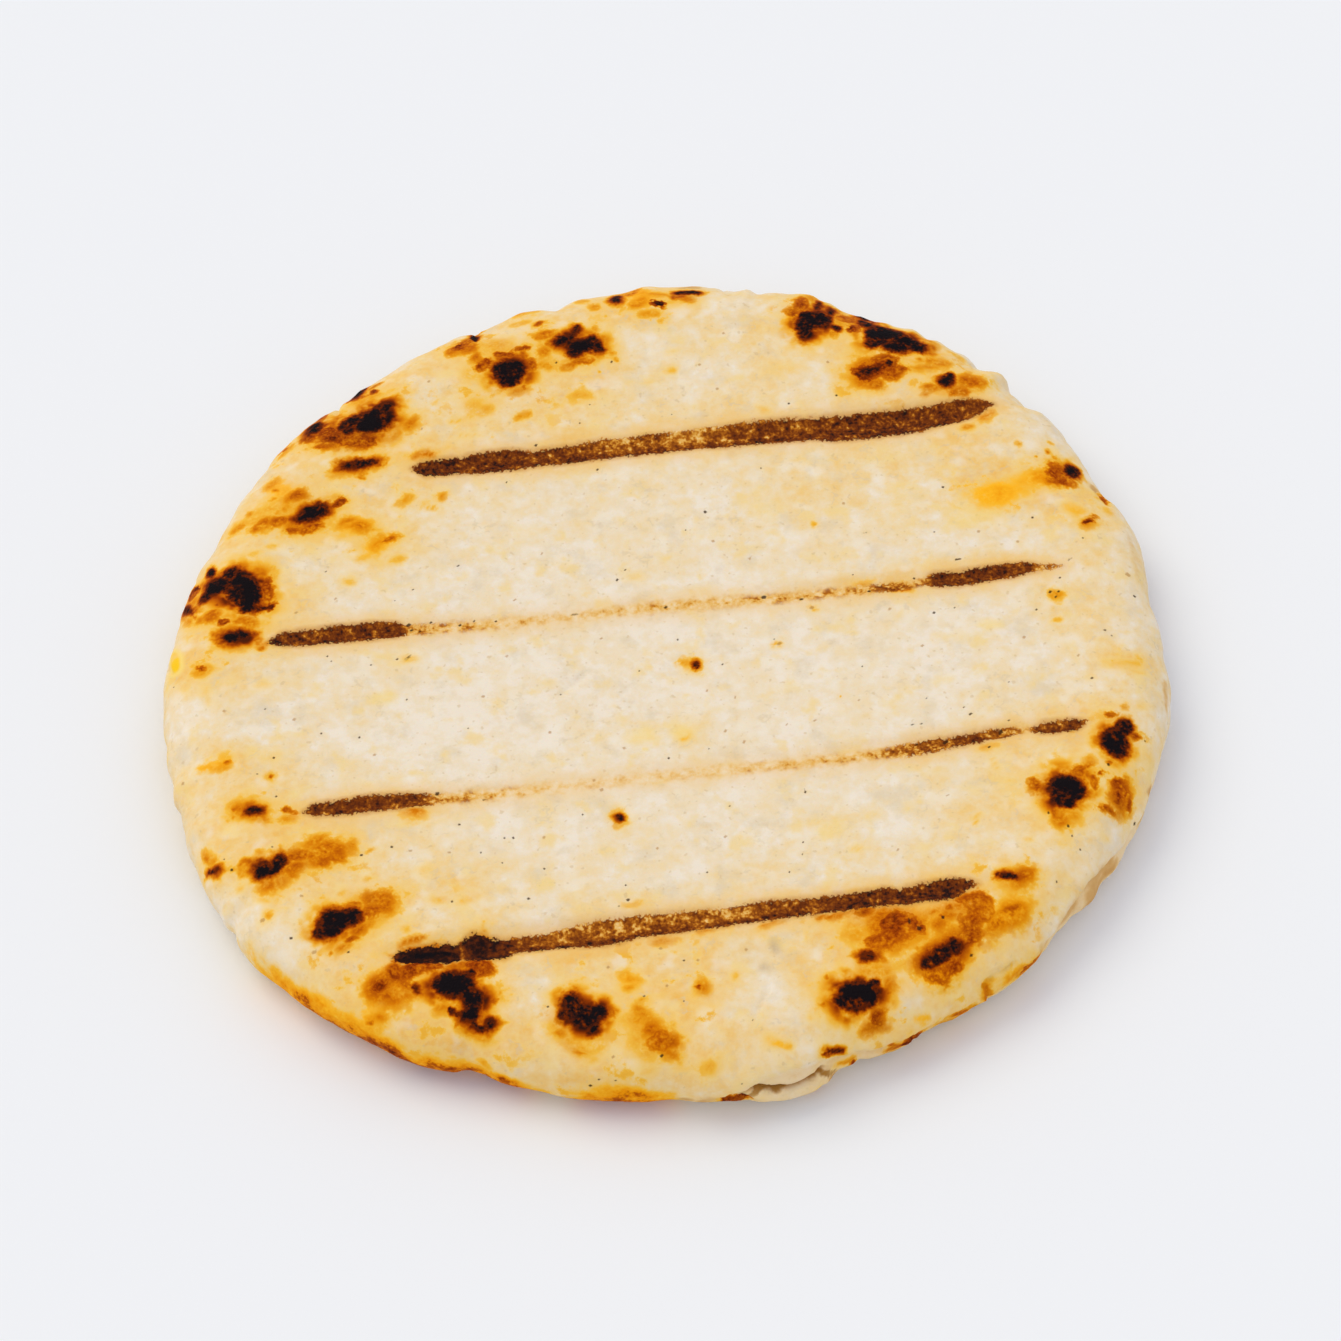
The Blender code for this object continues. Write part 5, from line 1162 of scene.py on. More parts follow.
def haze_field():
    """Warmth of the plain crust: pale in a wide middle, golden in places."""
    u, v = warped(1.3, 7.0, 151, 0.2)
    q = np.hypot((u + 2.0) / 1.45, v + 3.0)
    out = 0.09 + 0.20 * smoothstep(20.0, 38.0, q)
    for cu, cv, length, width, turn, strength in HAZES:
        t = math.radians(turn)
        du, dv = u - cu, v - cv
        p, w = du * math.cos(t) + dv * math.sin(t), dv * math.cos(t) - du * math.sin(t)
        d2 = (p / (length / 2)) ** 2 + (w / (width / 2)) ** 2
        out += strength * np.exp(-0.9 * d2)
    return out


warm = haze_field()
warm = warm + glow * np.clip(1.15 - warm, 0.0, 1.0)
warm = np.clip(warm, 0.0, 1.15) * (1.0 - 0.45 * smoothstep(67.0, 71.0, RAD) * TOP_SIDE)

# the sides that the front view doesn't show, and the underside, carry the
# same kind of toasting: scattered blisters, a browned lower edge, bar marks
rng = np.random.default_rng(20)


def scatter(count, place, base_uv):
    out_c = np.full(len(U), 9.0)
    out_t = np.zeros(len(U))
    for _ in range(count):
        cu, cv = place()
        size = rng.uniform(1.2, 4.6)
        turn, level = rng.uniform(0, 180), rng.choice([0.2, 0.3, 0.42, 0.55, 0.66, 1.0],
                                                      p=[.2, .2, .2, .14, .1, .16])
        spec = (cu, cv, size, size * rng.uniform(0.45, 0.9), turn)
        u, v = base_uv
        a, b = spec[2] / 2, spec[3] / 2
        t = math.radians(turn)
        du, dv = u - cu, v - cv
        p, q = du * math.cos(t) + dv * math.sin(t), dv * math.cos(t) - du * math.sin(t)
        k = np.sqrt((p / a) ** 2 + (q / b) ** 2)
        d = (k - 1.0) * math.sqrt(a * b)
        if level == 1.0:
            out_c = soft_min(out_c, d, 0.3)
            out_t = np.maximum(out_t, 0.5 * (1 - smoothstep(-0.5, 1.4, d)))
        else:
            soft = 0.25 + 0.3 * spec[3]
            out_t = np.maximum(out_t, level * (1 - smoothstep(-soft, soft, d)))
    return out_c, out_t


HIDDEN = TOP_SIDE & (RAD > 64.0)
ang = [0.0]


def on_hidden_rim():
    b = math.radians(rng.uniform(0.0, 360.0))
    s = rng.uniform(66.5, 71.5)
    return s * math.cos(b), s * math.sin(b)


def on_underside():
    b, s = rng.uniform(0.0, 2 * math.pi), 52.0 * math.sqrt(rng.uniform(0.0, 1.0))
    return s * math.cos(b), s * math.sin(b)


c1, t1 = scatter(46, on_hidden_rim, warped(0.4, 3.6, 111, 0.17))
keep = smoothstep(63.0, 66.0, RAD) * TOP_SIDE
char = np.where(keep > 0.0, np.minimum(char, c1 + 4.0 * (1.0 - keep)), char)
halo = np.maximum(halo, 0.7 * np.exp(-(np.maximum(c1, 0.0) / 1.5) ** 1.3) * keep)
toast = np.maximum(toast, t1 * keep)
under_uv = (X + 0.45 * Noise(121)(P, 3.4), Y + 0.45 * Noise(122)(P, 3.4))
c2, t2 = scatter(72, on_underside, under_uv)
char = np.where(TOP_SIDE, char, c2)
halo = np.where(TOP_SIDE, halo, 0.7 * np.exp(-(np.maximum(c2, 0.0) / 1.5) ** 1.3))
toast = np.where(TOP_SIDE, toast, t2)
under_r = np.hypot(X, Y)
bar_y = np.array([-36.0, -12.0, 12.5, 36.5])
for k, y in enumerate(bar_y):
    half_len = math.sqrt(max(50.0 ** 2 - y * y, 0.0)) - 3.0
    d = np.maximum(np.abs(Y - y - 0.02 * X) - 1.15 - 0.3 * math.sin(k * 2.1),
                   np.abs(X) - half_len)
    better = (~TOP_SIDE) & (d < mark)
    mark = np.where(better, d, mark)
    burn = np.where(better, 0.52 + 0.30 * np.sin(X / 9.0 + 1.7 * k), burn)
burn = np.clip(burn, 0.0, 1.0)
warm = np.where(TOP_SIDE, warm, 0.25 + 0.45 * smoothstep(20.0, 50.0, under_r)
                + 0.12 * Noise(131)(P, 12.0, 2))
# a browned band low on the rim, and the golden edge at the front left
low_band = smoothstep(66.0, 70.5, RAD) * (1.0 - smoothstep(73.5, 76.0, RAD)) * TOP_SIDE
front_left = np.exp(-(bearing_gap(BEAR, 232.0) / 42.0) ** 2)
toast = np.maximum(toast, low_band * (0.11 + 0.05 * front_left)
                   * (0.75 + 0.5 * Noise(141)(P, 4.0, 2)))
b, start, level = (np.array(c) for c in zip(*GOLDEN_EDGE))
start = np.interp(BEAR, b, start) + 0.7 * Noise(171)(FLAT, 3.6, 2)
edge = np.interp(BEAR, b, level) * smoothstep(-1.2, 1.6, RAD - start) \
    * (1.0 - smoothstep(67.5, 70.5, RAD)) * TOP_SIDE
edge *= np.clip(0.66 + 0.80 * Noise(173)(P, 3.0, 2) + 0.16 * (RAD - start), 0.12, 1.12)
vivid = np.clip(np.maximum(vivid, 2.2 * edge), 0.0, 1.0)
toast = np.maximum(toast, edge * (1.0 + 0.25 * Noise(172)(P, 2.6, 2)))
rich = np.interp(BEAR, b, level) * smoothstep(-3.0, 0.5, RAD - start) * TOP_SIDE * 3.0
toast = np.clip(toast, 0.0, 0.86)

# ---------------------------------------------------------------------------
# Relief: the points move out along the normals
# ---------------------------------------------------------------------------
ALL_TRIS = np.concatenate([QUADS[:, [0, 1, 2]], QUADS[:, [0, 2, 3]], TRIS])


def normals(points):
    a, b, c = points[ALL_TRIS[:, 0]], points[ALL_TRIS[:, 1]], points[ALL_TRIS[:, 2]]
    fn = np.cross(b - a, c - a)
    out = np.zeros_like(points)
    for k in range(3):
        for col in range(3):
            out[:, col] += np.bincount(ALL_TRIS[:, k], fn[:, col], len(points))
    return out / np.maximum(np.linalg.norm(out, axis=1), 1e-12)[:, None]


NORMAL = normals(P)
rim = smoothstep(52.0, 60.0, RAD) * TOP_SIDE
rough_side = 0.45 + 0.55 * np.clip(np.exp(-(bearing_gap(BEAR, 20.0) / 60.0) ** 2)
                                   + np.exp(-(bearing_gap(BEAR, 305.0) / 34.0) ** 2)
                                   + 0.6 * np.exp(-(bearing_gap(BEAR, 135.0) / 40.0) ** 2), 0, 1)
lift = 0.085 * Noise(1)(P, 9.0, 2) + 0.050 * Noise(2)(P, 3.4, 2)
lift += 0.030 * Noise(3)(P, 1.35, 2)
lift += rim * rough_side * (0.20 * Noise(4)(P, 4.2, 2) + 0.13 * Noise(5)(P, 2.1, 2))
back_right = np.exp(-(bearing_gap(BEAR, 36.0) / 40.0) ** 2)
lift += rim * (0.35 + 0.65 * back_right) * (0.11 * Noise(13)(P, 2.3) + 0.08 * Noise(14)(P, 1.25))
blister = 1.0 - smoothstep(-0.9, 0.6, char)
lift += blister * (0.10 + 0.11 * Noise(6)(P, 1.1, 2))
toasted_and_shaded = np.maximum(toast, brown_l * (1.0 - smoothstep(-0.4, 0.5, brown_d)))
toasted_and_shaded = np.maximum(toasted_and_shaded, dark_l * (1.0 - smoothstep(-0.3, 0.4, dark_d)))
lift += 0.10 * smoothstep(0.25, 0.7, toasted_and_shaded) * (0.4 + 0.6 * Noise(7)(P, 1.5, 2))
inside_mark = 1.0 - smoothstep(-0.5, 0.35, mark)
lift += inside_mark * (0.045 * Noise(8)(P, 0.9, 2) - 0.07 * burn)
lift -= 0.10 * smoothstep(-0.1, 0.25, crumb)
lift -= 0.05 * stain
lift += 0.05 * np.clip(corn, 0.0, 1.0)
lift -= torn
lift += torn_face * (0.16 * Noise(9)(P, 1.5, 2) + 0.12 * Noise(10)(P, 3.0, 2))
lift -= crease
lift += 0.55 * flap
lift -= 0.16 * seam
b, out, half = (np.array(c)[:, None] for c in zip(*RIM_KNOBS))
knobs = (out * np.exp(-(bearing_gap(BEAR[None, :], b) / half) ** 2)).sum(0)
lift += knobs * smoothstep(55.0, 62.5, RAD) * TOP_SIDE
# the cake sits flat: no relief under it or at the foot of its wall
lift *= smoothstep(0.05, 0.9, Z)
P = P + NORMAL * lift[:, None]
floor_touch = (Z <= 1e-6)
P[floor_touch, 2] = np.maximum(P[floor_touch, 2], 0.0)
P[:, 2] = np.maximum(P[:, 2], 0.0)

# ---------------------------------------------------------------------------
# The mesh
# ---------------------------------------------------------------------------


def make_mesh(name):
    mesh = bpy.data.meshes.new(name)
    faces = QUADS.tolist() + TRIS.tolist()
    mesh.from_pydata((P / 1000.0).tolist(), [], faces)
    mesh.update()
    mesh.polygons.foreach_set("use_smooth", np.ones(len(mesh.polygons), bool))
    fields = {"char": char, "toast": toast, "brown_d": brown_d, "brown_l": brown_l,
              "gold_d": gold_d, "gold_l": gold_l,
              "dark_d": dark_d, "dark_l": dark_l, "vivid": vivid, "split": seam, "crumb": crumb, "fleck": fleck,
              "corn": corn, "stain": stain, "tear_and_rim_shade": tear_and_rim_shade, "mark": mark,
              "burn": burn, "halo": halo, "rich": rich, "warm": warm, "crease": crease, "torn": torn_face}
    for key, values in fields.items():
        layer = mesh.attributes.new(key, "FLOAT", "POINT")
        layer.data.foreach_set("value", np.asarray(values, np.float32))
    # the skin laid out as two discs: top and rim, and the underside
    uv = mesh.uv_layers.new(name="OFBake")
    loop_vertex = np.zeros(len(mesh.loops), np.int32)
    mesh.loops.foreach_get("vertex_index", loop_vertex)
    starts = np.zeros(len(mesh.polygons), np.int32)
    totals = np.zeros(len(mesh.polygons), np.int32)
    mesh.polygons.foreach_get("loop_start", starts)
    mesh.polygons.foreach_get("loop_total", totals)
    low_face = (loop_vertex[starts] >= FIRST_LOW) & (totals == 4)
    loop_low = np.repeat(low_face, totals)
    # underside vertices carry on the rim's roll for the joining triangles
    u, v = U.copy(), V.copy()
    last = RINGS[-1]
    for i, j in enumerate(LOW):
        a = last[2 * i]
        f = 1.0 + 0.9 / max(math.hypot(U[a], V[a]), 1.0)
        u[j], v[j] = U[a] * f, V[a] * f
    big = np.hypot(u[:FIRST_LOW], v[:FIRST_LOW]).max() + 1.2
    co = np.empty((len(mesh.loops), 2))
    top_uv = np.stack([u, v], -1) / big * 0.400 + (0.408, 0.592)
    low_uv = np.stack([-X, Y], -1) / 55.5 * 0.172 + (0.820, 0.180)
    co[:] = top_uv[loop_vertex]
    co[loop_low] = low_uv[loop_vertex[loop_low]]
    uv.data.foreach_set("uv", co.astype(np.float32).ravel())
    obj = bpy.data.objects.new(name, mesh)
    bpy.context.scene.collection.objects.link(obj)
    return obj


# ---------------------------------------------------------------------------
# Materials
# ---------------------------------------------------------------------------


def srgb(r, g, b):
    out = []
    for c in (r, g, b):
        c = c / 255.0
        out.append(c / 12.92 if c <= 0.04045 else ((c + 0.055) / 1.055) ** 2.4)
    return (*out, 1.0)


class Net:
    """Short words for building shader nodes."""

    def __init__(self, material):
        self.tree = material.node_tree
        self.tree.nodes.clear()
        coord = self.add("ShaderNodeTexCoord")
        self.object = coord.outputs["Object"]

    def add(self, kind):
        return self.tree.nodes.new(kind)

    def link(self, a, b):
        self.tree.links.new(a, b)

    def put(self, socket, value):
        if hasattr(value, "is_output"):
            self.link(value, socket)
        else:
            socket.default_value = value

    def math(self, op, a, b=None, c=None, clamp=False):
        n = self.add("ShaderNodeMath")
        n.operation = op
        n.use_clamp = clamp
        for i, value in enumerate((a, b, c)):
            if value is not None:
                self.put(n.inputs[i], value)
        return n.outputs[0]

    def plus(self, a, b):
        return self.math("ADD", a, b)

    def times(self, a, b):
        return self.math("MULTIPLY", a, b)

    def field(self, name):
        n = self.add("ShaderNodeAttribute")
        n.attribute_type = "GEOMETRY"
        n.attribute_name = name
        return n.outputs["Fac"]

    def step(self, value, a, b, to_a=0.0, to_b=1.0, smooth=True):
        n = self.add("ShaderNodeMapRange")
        n.interpolation_type = "SMOOTHSTEP" if smooth else "LINEAR"
        n.clamp = True
        self.put(n.inputs[0], value)
        for i, x in enumerate((a, b, to_a, to_b)):
            n.inputs[i + 1].default_value = x
        return n.outputs[0]

    def noise(self, size_mm, detail=2.0, rough=0.5, gain=1.8, stretch=(1, 1, 1), shift=0.0):
        """Noise about -1..1 with lumps of that size."""
        m = self.add("ShaderNodeMapping")
        m.inputs["Scale"].default_value = stretch
        m.inputs["Location"].default_value = (shift, shift * 0.7, shift * 1.3)
        self.link(self.object, m.inputs["Vector"])
        n = self.add("ShaderNodeTexNoise")
        self.link(m.outputs[0], n.inputs["Vector"])
        n.inputs["Scale"].default_value = 1000.0 / size_mm
        n.inputs["Detail"].default_value = detail
        n.inputs["Roughness"].default_value = rough
        return self.math("MULTIPLY", self.math("SUBTRACT", n.outputs[0], 0.5), 2.0 * gain)

    def mix(self, a, b, factor, blend="MIX"):
        n = self.add("ShaderNodeMix")
        n.data_type = "RGBA"
        n.blend_type = blend
        n.clamp_factor = True
        self.put(n.inputs[0], factor)
        self.put(n.inputs[6], a)
        self.put(n.inputs[7], b)
        return n.outputs[2]

    def ramp(self, value, stops, colour=True, spline="LINEAR"):
        n = self.add("ShaderNodeValToRGB")
        n.color_ramp.interpolation = spline
        self.put(n.inputs[0], value)
        e = n.color_ramp.elements
        while len(e) < len(stops):
            e.new(0.5)
        for el, (at, c) in zip(e, stops):
            el.position = at
        for el, (at, c) in zip(e, stops):
            el.color = srgb(*c) if colour else (c, c, c, 1.0)
        return n.outputs[0]


def crust_material():
    mat = bpy.data.materials.new("arepa_crust")
    mat.use_nodes = True
    k = Net(mat)

    n_wide = k.noise(12.0, 2.0, 0.5, shift=0.19)
    n_big = k.noise(6.0, 2.0, 0.5)
    n_mid = k.noise(3.0, 2.0, 0.5, shift=0.31)
    n_part = k.noise(1.5, 2.0, 0.5, shift=0.43)
    n_small = k.noise(0.9, 2.0, 0.5, shift=0.57)
    n_fine = k.noise(0.34, 1.0, 0.5, shift=0.83)
    grain = k.noise(0.40, 1.0, 0.6, stretch=(1.0, 0.8, 1.0), shift=0.11)

    # plain crust: ivory in the middle, golden towards the rim, mottled
    plain = k.field("warm")
    mottle = k.plus(k.times(n_wide, 0.10), k.times(n_big, 0.12))
    mottle = k.plus(mottle, k.plus(k.times(n_mid, 0.13), k.times(n_part, 0.09)))
    mottle = k.plus(mottle, k.plus(k.times(n_small, 0.08), k.times(n_fine, 0.03)))
    mottle = k.times(mottle, k.step(plain, 0.05, 0.40, 0.84, 1.75, smooth=False))
    warm = k.plus(plain, mottle)
    base = k.ramp(warm, ((0.0, (237, 224, 206)), (0.10, (235, 218, 191)),
                         (0.35, (236, 209, 160)), (0.65, (237, 197, 124)),
                         (1.0, (237, 183, 88))))
    pale = k.step(k.noise(3.4, 2.0, 0.5, shift=1.7), 0.05, 0.80)
    base = k.mix(base, srgb(239, 229, 213), k.times(pale, 0.50))
    dull = k.step(k.noise(4.6, 4.0, 0.65, shift=2.3), 0.05, 0.80)
    base = k.mix(base, srgb(216, 199, 172), k.times(dull, 0.55))
    straw = k.step(k.noise(3.6, 3.0, 0.55, shift=3.9), 0.12, 0.80)
    base = k.mix(base, srgb(239, 208, 138), k.times(straw, 0.72))
    veins = k.math("ABSOLUTE", k.plus(k.noise(3.8, 3.0, 0.6, shift=7.7), 0.05))
    veins = k.times(k.times(k.step(veins, 0.13, 0.0), k.step(n_big, -0.3, 0.5)), k.step(n_part, -0.10, 0.45))
    base = k.mix(base, srgb(212, 194, 166), k.times(veins, 0.52))
    dots = k.step(k.noise(0.75, 1.0, 0.5, shift=5.1), 0.58, 1.0)
    base = k.mix(base, srgb(206, 178, 134), k.times(dots, 0.46))

    # yellow corn, grey stains, torn tan rim with painted shade on its walls
    corn = k.field("corn")
    base = k.mix(base, srgb(243, 210, 118), k.step(k.plus(corn, k.times(n_small, 0.05)), 0.02, 1.0))
    base = k.mix(base, srgb(246, 196, 8), k.step(corn, 1.0, 1.7))
    stain = k.field("stain")
    base = k.mix(base, srgb(186, 164, 138), k.step(k.plus(stain, k.times(n_small, 0.06)), 0.03, 1.1))
    base = k.mix(base, srgb(236, 204, 152), k.times(k.field("torn"), 0.70))
    # tan of the torn rim, with painted shade on the rim walls that face away from the light and under the torn
    # front edge
    tear_and_rim_shade = k.plus(k.field("tear_and_rim_shade"), k.times(k.plus(n_small, n_mid), 0.07))
    base = k.mix(base, k.ramp(tear_and_rim_shade, ((0.0, (232, 198, 142)), (0.30, (220, 176, 112)),
                                     (0.60, (198, 144, 76)), (0.85, (158, 104, 52)),
                                     (1.0, (112, 68, 36)))),
                 k.step(tear_and_rim_shade, 0.04, 0.40))
    # cracks darken with their depth: browned crust in them, and painted shade in the deep recess below the front
    # crack
    base = k.mix(base, srgb(184, 128, 58), k.step(k.field("crease"), 0.25, 1.1))
    base = k.mix(base, srgb(162, 108, 34), k.step(k.plus(k.field("split"), k.times(n_small, 0.20)), 0.22, 0.72))

    # toasting: black blisters with a thin brown edge, amber round them in places, and amber smears of their own; a
    # few brown and dark smears low on the front wall are painted shade
    n_edge = k.noise(0.55, 1.0, 0.5, shift=2.9)
    ragged = k.plus(k.times(n_small, 0.20), k.plus(k.times(n_edge, 0.13), k.times(n_fine, 0.10)))
    char = k.plus(k.field("char"), ragged)
    outside = k.math("MAXIMUM", char, 0.0)
    uneven = k.plus(n_mid, k.times(n_part, 0.6))
    char_out = k.plus(char, k.times(outside, k.times(uneven, -0.60)))
    core = k.ramp(k.step(char_out, -0.6, 2.0, smooth=False),
                  ((0.0, 1.0), (0.115, 0.95), (0.21, 0.86), (0.277, 0.76), (0.346, 0.65),
                   (0.423, 0.54), (0.52, 0.42), (0.635, 0.28), (0.79, 0.14), (1.0, 0.0)),
                  colour=False)
    reach = k.step(uneven, -0.85, 0.75, 0.30, 0.98)
    from_char = k.math("MAXIMUM", core, k.times(k.field("halo"), reach))

    edgy = k.plus(k.plus(k.times(n_part, 0.36), k.times(n_small, 0.32)),
                  k.plus(k.times(n_edge, 0.18), k.times(n_fine, 0.14)))
    inner = k.plus(k.plus(k.times(n_part, 0.20), k.times(n_small, 0.15)),
                   k.plus(k.times(n_edge, 0.09), k.times(n_fine, 0.12)))
    inner = k.plus(1.0, k.plus(inner, k.times(n_mid, 0.18)))
    uneven = k.step(k.plus(n_mid, k.times(n_part, 0.6)), -0.9, 0.7, 0.30, 1.1)
    toast = k.times(k.field("toast"), inner)
    for name, wide, narrow, fringe in (("gold", 1.45, 0.80, 0.0), ("brown", 0.95, 0.72, 0.24),
                                       ("dark", 0.62, 0.42, 0.30)):
        strength = k.field(name + "_l")
        d = k.plus(k.field(name + "_d"), edgy)
        low, high = {"gold": (0.08, 0.40), "brown": (0.44, 0.60), "dark": (0.60, 0.80)}[name]
        soft = k.step(strength, low, high, wide, narrow, smooth=False)
        share = k.step(k.math("DIVIDE", k.math("SUBTRACT", d, 0.12), soft), 1.0, -1.0)
        toast = k.math("SMOOTH_MAX", toast, k.times(k.times(strength, share), inner), 0.05)
        if fringe:
            skirt = k.ramp(k.step(d, 0.0, 2.4, smooth=False),
                           ((0.0, 1.0), (0.16, 0.84), (0.36, 0.50), (0.62, 0.20), (1.0, 0.0)),
                           colour=False)
            skirt = k.times(k.times(skirt, fringe), k.times(uneven, k.step(strength, 0.2, 0.4)))
            toast = k.math("SMOOTH_MAX", toast, skirt, 0.05)

    # golden patches where the crust is warm
    patchy = k.step(k.noise(3.0, 5.0, 0.62, shift=6.3), 0.0, 0.60)
    hot = k.step(plain, 0.22, 0.70)
    toast = k.math("SMOOTH_MAX", toast, k.times(k.times(patchy, hot), 0.29), 0.05)

    level = k.math("SMOOTH_MAX", toast, from_char, 0.10)
    level = k.math("SUBTRACT", level, 0.022)
    # the burnt middles are grainy, not all equally black
    within = k.times(k.step(char, 0.10, -0.45), k.step(char, -1.7, -0.6, 0.45, 1.0))
    grains = k.plus(k.times(n_fine, 0.11), k.plus(k.times(n_edge, 0.10), k.times(n_part, 0.11)))
    level = k.math("SUBTRACT", level, k.times(within, k.plus(grains, 0.075)))
    browned = k.ramp(level, ((0.0, (238, 215, 172)), (0.12, (237, 203, 146)),
                             (0.24, (233, 181, 96)), (0.36, (224, 157, 56)),
                             (0.47, (210, 127, 12)), (0.57, (184, 98, 2)),
                             (0.67, (150, 67, 3)), (0.77, (102, 38, 3)),
                             (0.88, (44, 20, 14)), (0.96, (14, 10, 16)), (1.0, (11, 9, 16))))
    rich = k.ramp(level, ((0.0, (243, 219, 160)), (0.12, (243, 206, 122)),
                          (0.24, (240, 184, 66)), (0.36, (232, 155, 22)),
                          (0.47, (214, 122, 0)), (0.57, (188, 93, 0)),
                          (0.67, (154, 62, 0)), (0.77, (106, 36, 1)),
                          (0.88, (46, 20, 13)), (0.96, (14, 10, 16)), (1.0, (11, 9, 16))))
    browned = k.mix(browned, rich, k.step(k.plus(k.plus(n_big, k.field("rich")), k.times(n_part, 0.5)), -1.2, 0.15))
    vivid = k.times(k.field("vivid"), k.times(k.step(level, 0.08, 0.28), k.step(level, 0.56, 0.44)))
    browned = k.mix(browned, k.ramp(level, ((0.1, (250, 202, 88)), (0.28, (253, 182, 32)), (0.45, (240, 150, 2)))), vivid)
    colour = k.mix(base, browned, k.step(level, 0.0, 0.22, smooth=False))

    # pressed marks: brown grains over golden tan, in a golden glow
    burn = k.field("burn")
    around = k.field("mark")
    tint = k.times(k.step(k.plus(around, k.times(n_part, 0.5)), 2.6, -0.1),
                   k.step(burn, 0.15, 0.60, 0.25, 0.62))
    colour = k.mix(colour, srgb(236, 190, 112), k.times(tint, k.step(level, 0.5, 0.2)))
    scorch = k.times(k.step(k.plus(around, k.times(n_small, 0.18)), 0.75, -0.05),
                     k.step(burn, 0.35, 0.75, 0.0, 0.60))
    colour = k.mix(colour, srgb(196, 132, 50), k.times(scorch, k.step(level, 0.6, 0.3)))
    mark = k.plus(around, k.plus(k.times(grain, 0.24), k.plus(k.times(n_small, 0.12), k.plus(k.times(n_edge, 0.10), k.times(n_fine, 0.20)))))
    crisp = k.step(mark, 0.16, -0.16)
    faint = k.step(k.plus(around, k.times(grain, 0.20)), 0.60, -0.60)
    firm = k.step(burn, 0.28, 0.50)
    inside = k.plus(k.times(crisp, firm), k.times(faint, k.math("SUBTRACT", 1.0, firm)))
    swing = k.times(k.step(burn, 0.30, 0.78, 0.11, 0.27, smooth=False),
                    k.step(burn, 0.84, 0.97, 1.0, 0.35))
    tone = k.plus(burn, k.times(k.plus(k.times(grain, 0.70), k.plus(k.times(n_edge, 0.40), k.times(n_fine, 0.30))), k.times(swing, 0.98)))
    tone = k.plus(tone, k.plus(k.times(n_small, 0.13), k.times(n_part, 0.20)))
    rimmed = k.times(k.step(mark, -0.55, -0.05), k.step(burn, 0.35, 0.55))
    tone = k.plus(tone, k.plus(k.times(rimmed, 0.05), k.times(k.step(burn, 0.40, 0.60), -0.025)))
    seared = k.ramp(tone, ((0.0, (238, 214, 176)), (0.20, (236, 200, 142)),
                           (0.30, (231, 184, 106)), (0.36, (226, 172, 86)),
                           (0.41, (212, 148, 54)), (0.46, (188, 115, 30)),
                           (0.52, (164, 91, 18)), (0.60, (138, 71, 14)),
                           (0.68, (116, 54, 12)), (0.80, (98, 42, 11)),
                           (0.88, (78, 33, 14)), (0.94, (60, 26, 15)), (1.0, (38, 19, 16))))
    cover = k.step(burn, 0.06, 0.30, 0.45, 1.0)
    colour = k.mix(colour, seared, k.times(inside, cover))
    # where a mark runs into a char, the char wins
    colour = k.mix(colour, srgb(20, 15, 18), k.times(k.step(char, -0.05, -0.55), k.step(n_part, 0.5, -0.1)))

    # crumbs
    fleck = k.step(k.plus(k.field("fleck"), k.times(n_fine, 0.07)), -0.06, 0.16)
    colour = k.mix(colour, srgb(176, 126, 66), k.times(fleck, 0.62))
    crumb = k.step(k.plus(k.field("crumb"), k.times(n_fine, 0.06)), 0.0, 0.19)
    colour = k.mix(colour, srgb(62, 38, 18), k.times(crumb, 0.90))

    shader = k.add("ShaderNodeBsdfPrincipled")
    k.link(colour, shader.inputs["Base Color"])
    satin = k.plus(k.step(level, 0.3, 0.95, 0.56, 0.72), k.times(n_small, 0.05))
    k.link(satin, shader.inputs["Roughness"])
    shader.inputs["IOR"].default_value = 1.42
    shader.inputs["Specular IOR Level"].default_value = 0.04
    shader.inputs["Subsurface Weight"].default_value = 0.06
    shader.inputs["Subsurface Radius"].default_value = (1.0, 0.55, 0.28)
    shader.inputs["Subsurface Scale"].default_value = 0.0011

    height = k.plus(k.times(n_fine, 0.5), k.times(n_small, 0.5))
    height = k.plus(height, k.times(k.times(k.step(char, 0.3, -0.5), n_fine), 1.6))
    height = k.plus(height, k.times(k.times(crisp, grain), 0.8))
    bump = k.add("ShaderNodeBump")
    bump.inputs["Strength"].default_value = 1.0
    bump.inputs["Distance"].default_value = 0.000022
    k.link(height, bump.inputs["Height"])
    k.link(bump.outputs[0], shader.inputs["Normal"])
    out = k.add("ShaderNodeOutputMaterial")
    k.link(shader.outputs[0], out.inputs["Surface"])
    return mat


def floor_material():
    mat = bpy.data.materials.new("studio_floor")
    mat.use_nodes = True
    shader = mat.node_tree.nodes["Principled BSDF"]
    shader.inputs["Base Color"].default_value = (0.86, 0.87, 0.90, 1.0)
    shader.inputs["Roughness"].default_value = 0.9
    shader.inputs["Specular IOR Level"].default_value = 0.1
    return mat


cake = make_mesh("arepa_crust")
cake.data.materials.append(crust_material())
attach(cake, "root")
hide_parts("arepa")

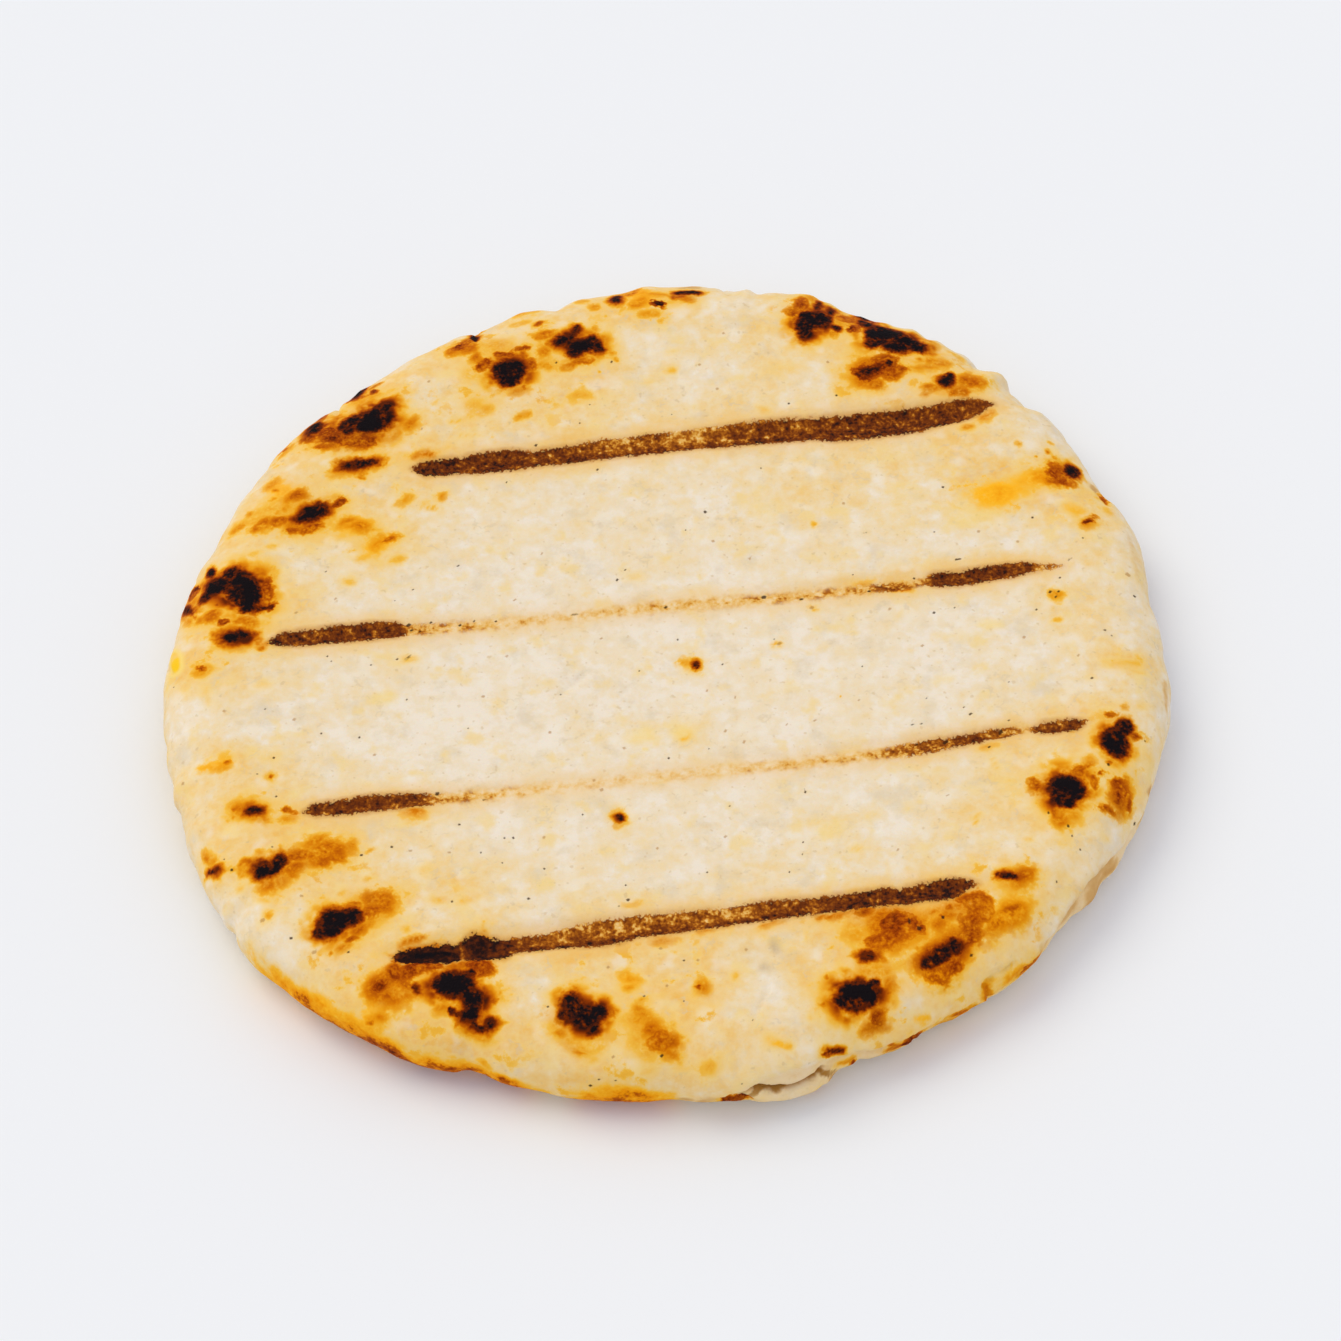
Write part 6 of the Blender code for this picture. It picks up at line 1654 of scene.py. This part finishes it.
# ---------------------------------------------------------------------------
# Studio
# ---------------------------------------------------------------------------
half = 4.0
floor_mesh = bpy.data.meshes.new("floor")
floor_mesh.from_pydata([(-half, -half, -0.0001), (half, -half, -0.0001),
                        (half, half, -0.0001), (-half, half, -0.0001)], [], [(0, 1, 2, 3)])
floor = bpy.data.objects.new("floor", floor_mesh)
floor.data.materials.append(floor_material())
bpy.context.scene.collection.objects.link(floor)

world = bpy.data.worlds.new("studio")
world.use_nodes = True
sky = world.node_tree.nodes["Background"]
sky.inputs["Color"].default_value = (0.968, 1.0, 1.095, 1.0)
sky.inputs["Strength"].default_value = 0.80
bpy.context.scene.world = world


sun = bpy.data.lights.new("softbox", "SUN")
sun.energy = 0.85
sun.color = (1.12, 1.0, 0.65)
sun.angle = math.radians(45.0)
sun_obj = bpy.data.objects.new("softbox", sun)
sun_obj.location = (-0.8, 0.8, 1.3)
sun_obj.rotation_mode = "QUATERNION"
sun_obj.rotation_quaternion = Vector((-0.62, 0.45, 1.0)).to_track_quat("Z", "Y")
bpy.context.scene.collection.objects.link(sun_obj)

AZIMUTH, ELEVATION, DISTANCE = math.radians(-8.1), math.radians(52.0), 0.75
FOCAL_PX, IMAGE_PX = 6300.0, 1341.0
right = Vector((math.cos(AZIMUTH), math.sin(AZIMUTH), 0.0))
back = Vector((math.sin(AZIMUTH) * math.cos(ELEVATION),
               -math.cos(AZIMUTH) * math.cos(ELEVATION), math.sin(ELEVATION)))
up = back.cross(right)
lens = bpy.data.cameras.new("camera")
lens.sensor_width = 36.0
lens.lens = FOCAL_PX / IMAGE_PX * 36.0
lens.clip_start, lens.clip_end = 0.01, 50.0
camera = bpy.data.objects.new("camera", lens)
camera.location = Vector((0.0003, -0.00005, 0.005)) + back * DISTANCE \
    + right * (3.0 / FOCAL_PX * DISTANCE) + up * (7.5 / FOCAL_PX * DISTANCE)
camera.rotation_mode = "QUATERNION"
camera.rotation_quaternion = back.to_track_quat("Z", "Y")
bpy.context.scene.collection.objects.link(camera)
bpy.context.scene.camera = camera
bpy.context.scene.view_settings.view_transform = "Standard"
